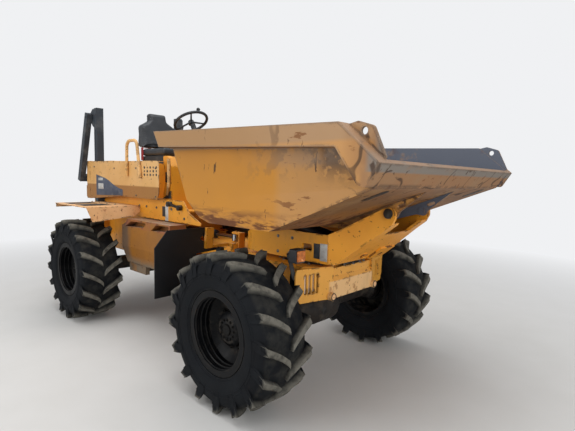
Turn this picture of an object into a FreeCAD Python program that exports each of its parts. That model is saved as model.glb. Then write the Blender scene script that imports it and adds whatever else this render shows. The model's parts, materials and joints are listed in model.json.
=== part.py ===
"""Articulated site dumper with a swivel skip, built as separate named pieces.

Millimetres. +X is forward, +Y is the machine's left and +Z is up. The origin is on
the ground under the middle of the whole machine, as it stands parked: straight, skip
ahead and down, roll hoop folded back.
"""
import FreeCAD
import Part
import math
import os

Vector = FreeCAD.Vector

# Wheels and axles
TYRE_RADIUS = 537.5
TYRE_WIDTH = 406.0
LUG_COUNT = 16
LUG_HIGH = 31.5
LUG_LEAN = 8.0
TRACK = 1748.0
RIM_RADIUS = 254.0
RIM_WIDTH = 350.0
RIM_FLANGE_RADIUS = 286.0
RIM_FLANGE_THICK = 9.0
DISC_THICK = 16.0
DISC_INSET = 135.0
HUB_RADIUS = 128.0
HUB_NOSE = 60.0
STUB_RADIUS = 45.0
RUNNING_FIT = 0.05
SEAT_GAP = 0.3
PIVOT_TO_FRONT_AXLE = 1340.0
PIVOT_TO_REAR_AXLE = 1284.0
AXLE_TUBE_RADIUS = 78.0
DIFF_RADIUS = 165.0
AXLE_HUB_RADIUS = 110.0
HUB_FACE = 60.0
PAD_HALF = 90.0

# Drive shafts, one half on each axle, which meet under the steering pivot
NOSE_LONG = 90.0
NOSE_RADIUS = 70.0
YOKE_RADIUS = 50.0
YOKE_LONG = 90.0
YOKE_GAP = 24.0
SHAFT_RADIUS = 30.0
CROSS_RADIUS = 17.0

# Steering pivot
PIVOT_PIN_RADIUS = 35.0
EAR_THICK = 25.0
EAR_GAP = 6.0
PIVOT_LOW = 640.0
PIVOT_HIGH = 930.0

# Front frame
FRONT_TOP = 930.0
FRONT_LOW = 690.0
FRONT_HALF_WIDTH = 300.0
FRAME_WALL = 20.0
BEAM_FACE = 370.0
BEAM_HALF_WIDTH = 260.0
BEAM_LOW = 695.0
BEAM_HIGH = 916.0
GUARD_HALF_WIDTH = 578.0
GUARD_SWEEP = 90.0
GUARD_PLATE = 10.0
SHEET = 6.0
SHEET_BACK = 750.0

# Slewing ring and carrier
SLEW_AHEAD = 50.0
RING_RADIUS = 330.0
RING_BORE = 250.0
CARRIER_LOW = 965.0
CARRIER_FRONT = 430.0
CARRIER_REAR = 560.0
CARRIER_HALF_WIDTH = 365.0
PLATE = 16.0
CARRIER_BOSS_OUT = 55.0
LUG_PLATE = 14.0
LUG_PLATE_IN = 65.0
LUG_PLATE_OUT = 270.0
LUG_PLATE_HIGH = 150.0

# Rams: pins are placed from the steering pivot, or from the front axle and the ground
STEER_RAM_BASE = (-185.0, 250.0)
STEER_RAM_EYE = (565.0, 230.0)
STEER_RAM_HEIGHT = 1020.0
STEER_BARREL_RADIUS = 42.0
STEER_ROD_RADIUS = 22.0
STEER_PIN_RADIUS = 16.0
TIP_RAM_BASE = (395.0, 1038.0)
TIP_BARREL_RADIUS = 58.0
TIP_ROD_RADIUS = 36.0
TIP_RAM_PIN_RADIUS = 20.0
RAM_FIT = 0.5

# Skip
TIP_HEIGHT = 1355.0
CARRIER_TOP = TIP_HEIGHT - 165.0
TIP_PIN_RADIUS = 25.0
TIP_LUG_INNER = 236.0
TIP_LUG_OUTER = 262.0
WEB_INNER = 208.0
WEB_OUTER = 228.0
WEB_SLOT_LONG = 62.0
WEB_SLOT_HIGH = 22.0
SKIP_HALF_WIDTH = 935.0
SKIP_WALL = 10.0
SKIP_FLOOR = TIP_HEIGHT - 110.0
RIM_OUT = 95.0
RIM_HIGH = 120.0
RIM_REAR_TOP = SKIP_FLOOR + 660.0
RIM_FRONT_TOP = SKIP_FLOOR + 605.0
SKIP_REAR = 810.0
LIP_REACH = 1170.0
SHOULDER = LIP_REACH - 235.0
TIP_AHEAD = LIP_REACH - 370.0
LIP_TOP = SKIP_FLOOR + 405.0
LIP_HIGH = 122.0
LIP_SLOPE = 85.0
LIP_HALF_WIDTH = 975.0
EYE_RADIUS = 19.0
TIP_RAM_EYE = (-400.0, SKIP_FLOOR - 35.0)

# Rear frame
DECK_TOP = 1335.0
DECK_LOW = DECK_TOP - 210.0
DECK_FLOOR = DECK_LOW + 112.0
SPINE_TOP = DECK_TOP - 60.0
SPINE_BEHIND = 260.0
DECK_HALF_WIDTH = 500.0
CHASSIS_HALF_WIDTH = 320.0
CHASSIS_LOW = 640.0
COVER_TOP = 1725.0
COVER_HALF_WIDTH = DECK_HALF_WIDTH + 90.0
COVER_REAR = 3200.0
COVER_FRONT = 1500.0
COVER_WALL = 6.0
BUMPER_REAR = 3300.0
BONNET_HALF_WIDTH = DECK_HALF_WIDTH - 18.0
BONNET_BACK = 3100.0
BONNET_HINGE_BACK = 2665.0
BONNET_THICK = 20.0
HINGE_TUBE = 11.0
HINGE_WIRE = 5.0
HINGE_OUT = 400.0
HINGE_LONG = 60.0
KNUCKLE_LONG = 24.0
KNUCKLE_GAP = 5.0
MUDGUARD_TOP = 1245.0
MUDGUARD_THICK = 8.0
MUDGUARD_FRONT = 2040.0
MUDGUARD_REAR = 2900.0
MUDGUARD_OUT = TRACK / 2 + 188.0
FLAP_DROP = 150.0

# Step boxes beside the chassis
STEP_FRONT = PIVOT_TO_FRONT_AXLE - 150.0
STEP_REAR = 2130.0
STEP_OUT = 660.0
STEP_INNER = 485.0
STEP_WALL = 20.0
STEP_LOW = 650.0
STEP_TOP = DECK_LOW - 10.0
STEP_CREASE = 830.0
STEP_APRON = 1720.0
TOE_REAR = 2055.0
TOE_FRONT = 1530.0
TOE_LONG = 430.0
APRON_LOW = 560.0

# Engine, seat and controls
ENGINE_FRONT = 2570.0
ENGINE_REAR = 3090.0
ENGINE_HALF = 280.0
ENGINE_TOP = COVER_TOP - 65.0
SEAT_BOX_FRONT = 1930.0
SEAT_BOX_REAR = 2550.0
SEAT_BOX_TOP = COVER_TOP - 25.0
SEAT_REAR = 2530.0
SEAT_DEEP = 540.0
SEAT_HALF = 250.0
HEAD_HALF = 110.0
CUSHION_LOW = SEAT_BOX_TOP + 95.0
CUSHION_TOP = CUSHION_LOW + 85.0
BACK_TALL = 450.0
CONSOLE_FRONT = PIVOT_TO_FRONT_AXLE + 115.0
CONSOLE_DEEP = 180.0
CONSOLE_HALF = 480.0
CONSOLE_TOP = COVER_TOP + 40.0
COLUMN_RADIUS = 28.0
COLUMN_BACK = 260.0
COLUMN_RISE = 435.0
COLLAR_LONG = 120.0
WHEEL_RADIUS = 180.0
WHEEL_GRIP = 14.0
WHEEL_RISE = 30.0
RAIL_RADIUS = 16.0
RAIL_BACK = 2120.0
LOCK_FRONT = PIVOT_TO_FRONT_AXLE - 88.0
LOCK_LONG = 178.0
LOCK_RADIUS = 13.0

# Towing jaw and rear lamps
BUMPER_HALF = 520.0
BUMPER_LOW = 800.0
BUMPER_TOP = 1120.0
JAW_HALF = 75.0
JAW_LOW = BUMPER_LOW - 100.0
JAW_PLATE = 35.0
LAMP_LOW = DECK_TOP - 45.0
LAMP_TALL = 140.0
LAMP_WIDE = 62.0
LAMP_DEEP = 42.0

# Roll hoop
POST_SIZE = 80.0
POST_BACK = 2950.0
POST_FOOT = 1145.0
BRACKET = 12.0
LEG_SIZE = 76.0
LEG_WIDTH = 60.0
LEG_GAP = 6.0
HINGE_BACK = 3030.0
HINGE_HEIGHT = 2250.0
POST_TOP = HINGE_HEIGHT + 100.0
HINGE_PIN_RADIUS = 18.0
LEG_LENGTH = HINGE_HEIGHT - 1450.0
FOLD_ANGLE = 18.0

# Where the axles, the steering pivot and the slewing centre stand
FOLD = math.radians(FOLD_ANGLE)
REAR_REACH = HINGE_BACK + LEG_LENGTH * math.sin(FOLD) + LEG_SIZE / 2 * math.cos(FOLD)
FRONT_X = (REAR_REACH - LIP_REACH) / 2
PIVOT_X = FRONT_X - PIVOT_TO_FRONT_AXLE
REAR_X = PIVOT_X - PIVOT_TO_REAR_AXLE
SLEW_X = FRONT_X + SLEW_AHEAD
TIP_X = FRONT_X + TIP_AHEAD
AXLE_Z = TYRE_RADIUS
POST_X = FRONT_X - POST_BACK
POST_INNER = DECK_HALF_WIDTH + SEAT_GAP
LEG_INNER = POST_INNER + POST_SIZE + BRACKET + LEG_GAP
X = Vector(1, 0, 0)
Y = Vector(0, 1, 0)
Z = Vector(0, 0, 1)


def box(x0, x1, y0, y1, z0, z1):
    """Block between two corners."""
    return Part.makeBox(x1 - x0, y1 - y0, z1 - z0, Vector(x0, y0, z0))


def rod(radius, start, end):
    """Round bar between two points."""
    return Part.makeCylinder(radius, (end - start).Length, start, end - start)


def place(axis, u, v, w=0.0):
    """Point from two coordinates in the plane across an axis, and one along it."""
    return {"x": Vector(w, u, v), "y": Vector(u, w, v), "z": Vector(u, v, w)}[axis]


def outline(axis, points, level):
    """Closed wire through points; a third value on a point rounds its corner."""
    corners = [place(axis, p[0], p[1], level) for p in points]
    radii = [p[2] if len(p) > 2 else 0.0 for p in points]
    edges = []
    starts = []
    ends = []
    count = len(corners)
    for i, (corner, radius) in enumerate(zip(corners, radii)):
        before = (corners[i - 1] - corner).normalize()
        after = (corners[(i + 1) % count] - corner).normalize()
        if radius <= 0:
            starts.append(corner)
            ends.append(corner)
            continue
        half = before.getAngle(after) / 2
        cut = radius / math.tan(half)
        middle = corner + (before + after).normalize() * (radius / math.sin(half) - radius)
        starts.append(corner + before * cut)
        ends.append(corner + after * cut)
        edges.append((i, Part.Arc(starts[-1], middle, ends[-1]).toShape()))
    arcs = dict(edges)
    path = []
    for i in range(count):
        if i in arcs:
            path.append(arcs[i])
        following = starts[(i + 1) % count]
        if (following - ends[i]).Length > 0.01:
            path.append(Part.LineSegment(ends[i], following).toShape())
    return Part.Wire(path)


def prism(axis, points, low, high):
    """Solid with the outline's section, from low to high along the axis."""
    face = Part.Face(outline(axis, points, low))
    return face.extrude({"x": X, "y": Y, "z": Z}[axis] * (high - low))


def turned(points, start, axis):
    """Solid of revolution: points are (along the axis, radius)."""
    side = Vector(-axis.z, 0, axis.x).normalize() if abs(axis.y) < 0.5 else Vector(0, 0, 1)
    corners = [start + axis * a + side * r for a, r in points]
    face = Part.Face(Part.makePolygon(corners + corners[:1]))
    return face.revolve(start, axis, 360)


def mirrored(shape):
    """The same piece on the machine's other side."""
    return shape.mirror(Vector(0, 0, 0), Y)


def both(shape):
    """The piece and its mirror image."""
    return [shape, mirrored(shape)]


def join(*shapes):
    """One solid from pieces that meet."""
    return shapes[0].multiFuse(list(shapes[1:])).removeSplitter()


def bent_tube(points, radius, bend):
    """Round tube along straight runs joined by tangent arcs."""
    edges = []
    start = points[0]
    for i in range(1, len(points) - 1):
        before = (points[i - 1] - points[i]).normalize()
        after = (points[i + 1] - points[i]).normalize()
        half = before.getAngle(after) / 2
        cut = bend / math.tan(half)
        first = points[i] + before * cut
        last = points[i] + after * cut
        middle = points[i] + (before + after).normalize() * (bend / math.sin(half) - bend)
        edges.append(Part.LineSegment(start, first).toShape())
        edges.append(Part.Arc(first, middle, last).toShape())
        start = last
    edges.append(Part.LineSegment(start, points[-1]).toShape())
    path = Part.Wire(edges)
    ring = Part.Wire([Part.Circle(points[0], points[1] - points[0], radius).toShape()])
    return path.makePipeShell([ring], True, False)


def ram_places(base, eye):
    """Length and direction of a ram between its two pins."""
    return (eye - base).Length, (eye - base).normalize()


# Wheels

WHEELS = [
    # name, x of the axle, side
    ("front_right", FRONT_X, -1),
    ("front_left", FRONT_X, 1),
    ("rear_right", REAR_X, -1),
    ("rear_left", REAR_X, 1),
]


LUG_STATIONS = [
    # across, groove radius, tip radius, arc to the leading side, arc to the trailing side
    (7.0, TYRE_RADIUS - LUG_HIGH, TYRE_RADIUS, 26.0, -20.0),
    (120.0, TYRE_RADIUS - LUG_HIGH, TYRE_RADIUS, -58.0, -108.0),
    (TYRE_WIDTH / 2, TYRE_RADIUS - 86.0, TYRE_RADIUS - 25.0, -90.0, -154.0),
]


def polar(radius, across, angle):
    """Point on a ring round the axle."""
    return Vector(radius * math.sin(angle), across, radius * math.cos(angle))


def lug_cell(side, start):
    """One lug with the groove behind it, as quads and triangles, and its side ring's angles."""
    pitch = 2 * math.pi / LUG_COUNT
    lean = LUG_LEAN / TYRE_RADIUS
    lead, trail, top_lead, top_trail, following = [], [], [], [], []
    for across, groove, tip, arc_lead, arc_trail in LUG_STATIONS:
        first = start + arc_lead / TYRE_RADIUS
        last = start + arc_trail / TYRE_RADIUS
        y = side * across
        lead.append(polar(groove, y, first + lean))
        trail.append(polar(groove, y, last - lean))
        top_lead.append(polar(tip, y, first))
        top_trail.append(polar(tip, y, last))
        following.append(polar(groove, y, first + lean - pitch))
    faces = [(top_lead[2], top_trail[2], trail[2], lead[2]), (lead[0], trail[0], top_trail[0], top_lead[0])]
    for k in (0, 1):
        faces.append((top_lead[k], top_trail[k], top_trail[k + 1], top_lead[k + 1]))
        faces.append((lead[k], top_lead[k], top_lead[k + 1], lead[k + 1]))
        faces.append((top_trail[k], trail[k], trail[k + 1], top_trail[k + 1]))
        faces.append((trail[k], following[k], following[k + 1], trail[k + 1]))
    crown = LUG_STATIONS[0][1]
    middle = [polar(crown, 0.0, start - pitch * part) for part in (0.0, 0.5, 1.0)]
    faces.append((middle[0], trail[0], lead[0]))
    faces.append((middle[0], middle[1], trail[0]))
    faces.append((middle[1], following[0], trail[0]))
    faces.append((middle[1], middle[2], following[0]))
    return faces, (first + lean, last - lean), (lead[2], trail[2])


def tyre_faces():
    """Facets of a whole tyre about the origin, wound the same way round."""
    pitch = 2 * math.pi / LUG_COUNT
    faces = []
    bores = []
    for side in (1, -1):
        angles = []
        shoulders = []
        for i in range(LUG_COUNT):
            start = -pitch * (i + (0.0 if side > 0 else 0.5))
            cell, ring, edge = lug_cell(side, start)
            faces += cell if side > 0 else [face[::-1] for face in cell]
            angles += ring
            shoulders += edge
        y = side * (RIM_WIDTH / 2 - RIM_FLANGE_THICK - SEAT_GAP)
        beads = [polar(RIM_FLANGE_RADIUS + 5.0, y, angle) for angle in angles]
        bore = [polar(RIM_RADIUS + 3.4, y, angle) for angle in angles]
        count = len(angles)
        for outer, inner in ((shoulders, beads), (beads, bore)):
            for i in range(count):
                j = (i + 1) % count
                face = (outer[i], outer[j], inner[j], inner[i])
                faces.append(face if side > 0 else face[::-1])
        bores.append(bore)
    left, right = bores
    right = right[-1:] + right[:-1]
    for i in range(len(left)):
        j = (i + 1) % len(left)
        faces.append((left[i], left[j], right[j], right[i]))
    return faces


def facet_solid(faces):
    """Solid from facets; a facet of four corners becomes two triangles."""
    triangles = []
    for face in faces:
        for i in range(1, len(face) - 1):
            corners = [face[0], face[i], face[i + 1]]
            triangles.append(Part.Face(Part.makePolygon(corners + corners[:1])))
    solid = Part.Solid(Part.makeShell(triangles))
    if solid.Volume < 0:
        solid.reverse()
    return solid


def tyre(axle_x, side):
    """Agricultural tyre with two staggered rows of slanted lugs."""
    solid = facet_solid(tyre_faces())
    solid.translate(Vector(axle_x, side * TRACK / 2, AXLE_Z))
    return [solid]


def rim(axle_x, side):
    """Flanged rim with its dished disc and hub; the disc sits outboard of the middle."""
    half = RIM_WIDTH / 2
    inner = RIM_RADIUS - 12
    disc = half - DISC_INSET
    hub_in = -60.0
    flange = RIM_FLANGE_RADIUS
    section = [
        (-half, inner), (-half, flange), (-half + RIM_FLANGE_THICK, flange),
        (-half + RIM_FLANGE_THICK, RIM_RADIUS), (half - RIM_FLANGE_THICK, RIM_RADIUS),
        (half - RIM_FLANGE_THICK, flange), (half, flange), (half, inner),
        (disc, inner), (disc - 45, HUB_RADIUS + 40), (disc - 45, HUB_RADIUS),
        (disc + HUB_NOSE - 45, HUB_RADIUS - 8), (disc + HUB_NOSE - 25, HUB_RADIUS - 40),
        (disc + HUB_NOSE - 25, 0), (hub_in + 75, 0), (hub_in + 75, STUB_RADIUS + RUNNING_FIT),
        (hub_in, STUB_RADIUS + RUNNING_FIT), (hub_in, HUB_RADIUS),
        (disc - 45 - DISC_THICK, HUB_RADIUS), (disc - 45 - DISC_THICK, HUB_RADIUS + 40),
        (disc - DISC_THICK, inner),
    ]
    centre = Vector(axle_x, side * TRACK / 2, AXLE_Z)
    return [turned(section, centre, Y * side)]


def axle(axle_x, pad_top, pad_half, toward, cross):
    """Axle casing with its differential, end hubs, stubs, frame pads and half of the drive shaft."""
    seat = TRACK / 2 - HUB_FACE - SEAT_GAP
    centre = Vector(axle_x, 0, AXLE_Z)
    hub = AXLE_HUB_RADIUS
    tube = AXLE_TUBE_RADIUS
    profile = [
        (-seat, 0), (-seat, hub), (-seat + 60, hub), (-seat + 90, tube), (-DIFF_RADIUS - 90, tube),
        (-110, DIFF_RADIUS), (110, DIFF_RADIUS), (DIFF_RADIUS + 90, tube), (seat - 90, tube),
        (seat - 60, hub), (seat, hub), (seat, 0),
    ]
    casing = turned(profile, centre, Y)
    stub = rod(STUB_RADIUS, centre - Y * (seat + 70), centre + Y * (seat + 70))
    pad = box(axle_x - PAD_HALF, axle_x + PAD_HALF, pad_half - 80, pad_half, AXLE_Z + 40, pad_top)
    reach = abs(PIVOT_X - axle_x)
    nose = DIFF_RADIUS + NOSE_LONG
    shaft = [
        (100, 0), (100, DIFF_RADIUS - 45), (DIFF_RADIUS + 20, DIFF_RADIUS - 60), (nose - 20, NOSE_RADIUS),
        (nose, NOSE_RADIUS), (nose, SHAFT_RADIUS), (reach - YOKE_LONG, SHAFT_RADIUS),
        (reach - YOKE_LONG, YOKE_RADIUS), (reach - YOKE_GAP, YOKE_RADIUS), (reach - YOKE_GAP, 0),
    ]
    shapes = [casing, stub, turned(shaft, centre, X * toward), *both(pad)]
    if cross:
        meet = Vector(PIVOT_X, 0, AXLE_Z)
        shapes.append(rod(CROSS_RADIUS - 4, meet - X * (YOKE_GAP + 5), meet))
        shapes.append(Part.makeSphere(CROSS_RADIUS, meet))
    return [join(*shapes)]


# Front frame

def front_chassis():
    """Rails under the turntable, with the steering ears behind."""
    back = PIVOT_X + 130
    front = FRONT_X + BEAM_FACE - 60 - SEAT_GAP
    half = FRONT_HALF_WIDTH
    side = [
        (back, FRONT_LOW + 20), (back + 60, FRONT_LOW), (front, FRONT_LOW), (front, FRONT_TOP - 40),
        (front - 40, FRONT_TOP), (back, FRONT_TOP),
    ]
    rail = prism("y", side, half - FRAME_WALL, half)
    top = box(back, front - 40, -half, half, FRONT_TOP - FRAME_WALL, FRONT_TOP)
    wide = prism("z", [
        (SLEW_X - 380, -half), (SLEW_X - 250, -430), (SLEW_X + 150, -430),
        (SLEW_X + 259, -half), (SLEW_X + 259, half), (SLEW_X + 150, 430),
        (SLEW_X - 250, 430), (SLEW_X - 380, half),
    ], FRONT_TOP - FRAME_WALL, FRONT_TOP)
    shapes = [top, wide, *both(rail)]
    for x in (back, FRONT_X - 330, FRONT_X + 180):
        shapes.append(box(x, x + FRAME_WALL, -half, half, FRONT_LOW + 30, FRONT_TOP - FRAME_WALL / 2))
    for z in (PIVOT_LOW, PIVOT_HIGH - EAR_THICK):
        ear = prism("z", [
            (PIVOT_X - 75, -75, 60), (back + 30, -200), (back + 30, 200), (PIVOT_X - 75, 75, 60),
        ], z, z + EAR_THICK)
        boss = Part.makeCylinder(70, EAR_THICK + 4, Vector(PIVOT_X, 0, z - (4 if z == PIVOT_LOW else 0)))
        shapes.append(ear)
        shapes.append(boss)
    web = box(back, back + 30, -200, 200, PIVOT_LOW, FRONT_LOW + 60)
    shapes.append(web)
    shapes += steer_brackets(False)
    body = join(*shapes)
    bore = Part.makeCylinder(PIVOT_PIN_RADIUS + RUNNING_FIT, 500, Vector(PIVOT_X, 0, PIVOT_LOW - 100))
    return [body.cut(bore)]


def front_beam():
    """Front cross beam with round bosses and swept lamp guards with upright slots."""
    face = FRONT_X + BEAM_FACE
    half = BEAM_HALF_WIDTH
    section = [
        (face - 60, BEAM_LOW), (face, BEAM_LOW), (face, BEAM_LOW + 130), (face - 18, BEAM_HIGH - 60),
        (face - 18, BEAM_HIGH), (face - 60, BEAM_HIGH),
    ]
    beam = prism("y", section, -half, half)
    boss = rod(30, Vector(face - 20, -half - 22, BEAM_LOW + 22), Vector(face + 22, -half - 22, BEAM_LOW + 22))
    guard_plan = [
        (face - 60, -half + 0.0), (face, -half), (face - 30, -half - 80),
        (face - GUARD_SWEEP, -GUARD_HALF_WIDTH), (face - GUARD_SWEEP - GUARD_PLATE, -GUARD_HALF_WIDTH),
        (face - 30 - GUARD_PLATE, -half - 80 + 10), (face - 60, -half - 40),
    ]
    guard = prism("z", guard_plan, BEAM_LOW, BEAM_HIGH + 22)
    trim = prism("x", [
        (-half + 20, BEAM_LOW - 5), (-half + 20, BEAM_HIGH + 22), (-GUARD_HALF_WIDTH + 12, BEAM_HIGH + 22),
        (-GUARD_HALF_WIDTH, BEAM_HIGH - 20), (-GUARD_HALF_WIDTH + 4, BEAM_LOW + 60), (-GUARD_HALF_WIDTH + 45, BEAM_LOW - 5),
    ], face - 200, face + 10)
    guard = guard.common(trim)
    for i in range(4):
        y = -GUARD_HALF_WIDTH + 75 + i * 34
        slot = prism("x", [
            (y, BEAM_LOW + 55, 9), (y + 19, BEAM_LOW + 55, 9), (y + 19, BEAM_HIGH - 20, 9), (y, BEAM_HIGH - 20, 9),
        ], face - 200, face + 20)
        guard = guard.cut(slot)
    return [join(beam, *both(guard), *both(boss))]


def headlamps():
    """A lamp behind each slotted guard, on the frame's side."""
    face = FRONT_X + BEAM_FACE
    top = FRONT_TOP - FRAME_WALL - 8
    shell = prism("x", [
        (-545, BEAM_LOW + 40, 20), (-360, BEAM_LOW + 40, 20), (-360, top, 20), (-545, top, 20),
    ], face - 175, face - 112)
    arm = box(face - 175, face - 150, -365, -FRONT_HALF_WIDTH - SEAT_GAP, BEAM_LOW + 80, BEAM_LOW + 150)
    return both(join(shell, arm))


def side_lamps():
    """Square indicator lamps on black brackets above the guards."""
    face = FRONT_X + BEAM_FACE
    shell = prism("x", [
        (-698, 1015, 10), (-602, 1015, 10), (-602, 1107, 10), (-698, 1107, 10),
    ], face - 45, face + 15)
    arm = prism("x", [
        (-660, 1065), (-625, 1065), (-560, BEAM_HIGH - 30), (-572, BEAM_HIGH - 60), (-600, BEAM_HIGH - 30),
    ], face - 106, face - 100 - SEAT_GAP)
    tab = box(face - 106, face - 40, -655, -632, 1035, 1060)
    return both(join(shell, arm, tab))


def side_lenses():
    """Amber lenses set on the indicator lamps."""
    face = FRONT_X + BEAM_FACE + 15
    lens = prism("x", [
        (-688, 1025, 8), (-612, 1025, 8), (-612, 1097, 8), (-688, 1097, 8),
    ], face, face + 9)
    return both(lens)


def wheel_guards():
    """Black sheets behind the front wheels, on arms from the frame."""
    x = FRONT_X - SHEET_BACK
    sheet = prism("x", [
        (-440, 935), (-580, 1015), (-640, 1040), (-575, 1140), (-950, 1140), (-1062, 1010), (-1062, 610),
        (-905, 610), (-690, 850), (-675, 925),
    ], x - SHEET, x)
    arm = box(x - SHEET, x + 60, -470, -430, 850, 960)
    foot = box(x, x + 60, -470, -FRONT_HALF_WIDTH - SEAT_GAP, 850, 905)
    return both(join(sheet, arm, foot))


def guard_posts():
    """Upright plates in front of the black sheets."""
    x = FRONT_X - SHEET_BACK
    post = prism("x", [(-600, 985), (-525, 985), (-515, 1135), (-590, 1140)], x + SEAT_GAP, x + 28)
    tie = box(x + SEAT_GAP, x + 28, -600, -FRONT_HALF_WIDTH - SEAT_GAP, 962, 986)
    strut = box(x + 66, x + 90, -FRONT_HALF_WIDTH - 60, -FRONT_HALF_WIDTH - SEAT_GAP, 870, 986)
    link = box(x + SEAT_GAP, x + 90, -FRONT_HALF_WIDTH - 60, -FRONT_HALF_WIDTH - 30, 962, 986)
    return both(join(post, tie, strut, link))


def slew_ring_lower():
    """Fixed half of the slewing ring."""
    top = (FRONT_TOP + CARRIER_LOW) / 2
    ring = Part.makeCylinder(RING_RADIUS, top - FRONT_TOP, Vector(SLEW_X, 0, FRONT_TOP))
    bore = Part.makeCylinder(RING_BORE, 100, Vector(SLEW_X, 0, FRONT_TOP - 20))
    return [ring.cut(bore)]


# Carrier

def slew_ring_upper():
    """Turning half of the slewing ring."""
    low = (FRONT_TOP + CARRIER_LOW) / 2 + SEAT_GAP
    ring = Part.makeCylinder(RING_RADIUS, CARRIER_LOW - low, Vector(SLEW_X, 0, low))
    bore = Part.makeCylinder(RING_BORE, 100, Vector(SLEW_X, 0, FRONT_TOP))
    return [ring.cut(bore)]


def carrier_frame():
    """Swivel frame: a box on the slewing ring that rises to the tipping pivots."""
    rear = SLEW_X - CARRIER_REAR
    front = FRONT_X + CARRIER_FRONT
    half = CARRIER_HALF_WIDTH
    knuckle = 44.0
    side = [
        (rear, CARRIER_LOW), (front, CARRIER_LOW), (TIP_X + 20, TIP_HEIGHT - 78),
        (TIP_X + knuckle, TIP_HEIGHT - 30, 20), (TIP_X + knuckle, TIP_HEIGHT + knuckle, knuckle - 4),
        (TIP_X - knuckle, TIP_HEIGHT + knuckle - 16, 26), (FRONT_X + 380, CARRIER_TOP - 15),
        (FRONT_X + 180, CARRIER_TOP - 15), (FRONT_X - 330, CARRIER_TOP), (rear, CARRIER_TOP - 80),
    ]
    body = prism("y", side, -half, half)
    tip = TIP_X + 60
    plan = [
        (rear, -half + 50), (rear + 90, -half), (front - 40, -half), (front + 40, -half + 40),
        (tip - 110, -TIP_LUG_OUTER), (tip, -TIP_LUG_OUTER), (tip, TIP_LUG_OUTER), (tip - 110, TIP_LUG_OUTER),
        (front + 40, half - 40), (front - 40, half), (rear + 90, half), (rear, half - 50),
    ]
    body = body.common(prism("z", plan, CARRIER_LOW - 10, TIP_HEIGHT + 100))
    inner_side = [
        (rear + PLATE, CARRIER_LOW + PLATE), (front - 8, CARRIER_LOW + PLATE), (TIP_X - 2, TIP_HEIGHT - 66),
        (tip + 60, TIP_HEIGHT - 66), (tip + 60, TIP_HEIGHT + 200), (rear + PLATE, TIP_HEIGHT + 200),
    ]
    inner_plan = [
        (rear + PLATE, -half + 62), (rear + 96, -half + PLATE), (front - 44, -half + PLATE),
        (front + 36, -half + 56), (tip - 110, -TIP_LUG_INNER), (tip + 60, -TIP_LUG_INNER),
        (tip + 60, TIP_LUG_INNER), (tip - 110, TIP_LUG_INNER), (front + 36, half - 56),
        (front - 44, half - PLATE), (rear + 96, half - PLATE), (rear + PLATE, half - 62),
    ]
    hollow = prism("y", inner_side, -half, half)
    hollow = hollow.common(prism("z", inner_plan, CARRIER_LOW, TIP_HEIGHT + 300))
    body = body.cut(hollow)
    mouth = box(front + 110, tip + 20, -170, 170, TIP_HEIGHT - 150, TIP_HEIGHT + 80)
    body = body.cut(mouth)
    slot = prism("z", [
        (FRONT_X - 130, -66, 30), (FRONT_X + 350, -66, 30), (FRONT_X + 350, 66, 30), (FRONT_X - 130, 66, 30),
    ], CARRIER_LOW - 5, CARRIER_LOW + PLATE + 5)
    body = body.cut(slot)
    window = prism("y", [
        (FRONT_X + 150, 1045, 8), (FRONT_X + 240, 1045, 8), (FRONT_X + 240, 1095, 8), (FRONT_X + 150, 1095, 8),
    ], -half - 20, -half + 60)
    body = body.cut(window)
    base_x = FRONT_X + TIP_RAM_BASE[0]
    base_z = TIP_RAM_BASE[1]
    lug = prism("y", [
        (base_x - 90, CARRIER_LOW + 10), (base_x + 25, CARRIER_LOW + 10), (base_x + 44, base_z, 20), (base_x + 34, base_z + 38, 26),
        (base_x - 38, base_z + 38, 30),
    ], -88, -68)
    rise = TIP_HEIGHT - 78 - CARRIER_LOW
    ahead = TIP_X + 20 - front
    slope = Vector(ahead, 0, rise).normalize()
    normal = Vector(rise, 0, -ahead).normalize()
    boss_foot = Vector(front, -CARRIER_BOSS_OUT, CARRIER_LOW) + slope * 75
    boss = rod(32, boss_foot - normal * 6, boss_foot + normal * 14).cut(rod(17, boss_foot - normal * 2, boss_foot + normal * 20))
    shackle = prism("y", [
        (0, -6), (LUG_PLATE_HIGH, -6), (LUG_PLATE_HIGH, LUG_PLATE), (0, LUG_PLATE),
    ], LUG_PLATE_IN, LUG_PLATE_OUT)
    shackle = shackle.cut(rod(20, Vector(60, (LUG_PLATE_IN + LUG_PLATE_OUT) / 2, 0), Vector(60, (LUG_PLATE_IN + LUG_PLATE_OUT) / 2, 40)))
    shackle.rotate(Vector(0, 0, 0), Y, -math.degrees(math.atan2(rise, ahead)))
    shackle = shackle.mirror(Vector(0, 0, 0), normal)
    shackle.translate(Vector(front, 0, CARRIER_LOW) + slope * 12)
    body = join(body, *both(lug), boss, shackle)
    tip_bore = rod(TIP_PIN_RADIUS + RUNNING_FIT, Vector(TIP_X, -half, TIP_HEIGHT), Vector(TIP_X, half, TIP_HEIGHT))
    pin = rod(TIP_RAM_PIN_RADIUS, Vector(base_x, -100, base_z), Vector(base_x, 100, base_z))
    return [join(body, pin).cut(tip_bore)]


# Rams

def ram_pose(name, side):
    """Pins of a ram: its fixed one, its eye's one and the pins' direction."""
    if name == "steer":
        base = Vector(PIVOT_X + STEER_RAM_BASE[0], side * STEER_RAM_BASE[1], STEER_RAM_HEIGHT)
        eye = Vector(PIVOT_X + STEER_RAM_EYE[0], side * STEER_RAM_EYE[1], STEER_RAM_HEIGHT)
        return base, eye, Z
    base = Vector(FRONT_X + TIP_RAM_BASE[0], 0, TIP_RAM_BASE[1])
    eye = Vector(FRONT_X + TIP_RAM_EYE[0], 0, TIP_RAM_EYE[1])
    return base, eye, Y


def pivot_eye(centre, pin_axis, radius, width, bore):
    """Round eye across a pin, with its bore."""
    eye = rod(radius, centre - pin_axis * (width / 2), centre + pin_axis * (width / 2))
    return eye, rod(bore, centre - pin_axis * width, centre + pin_axis * width)


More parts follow.
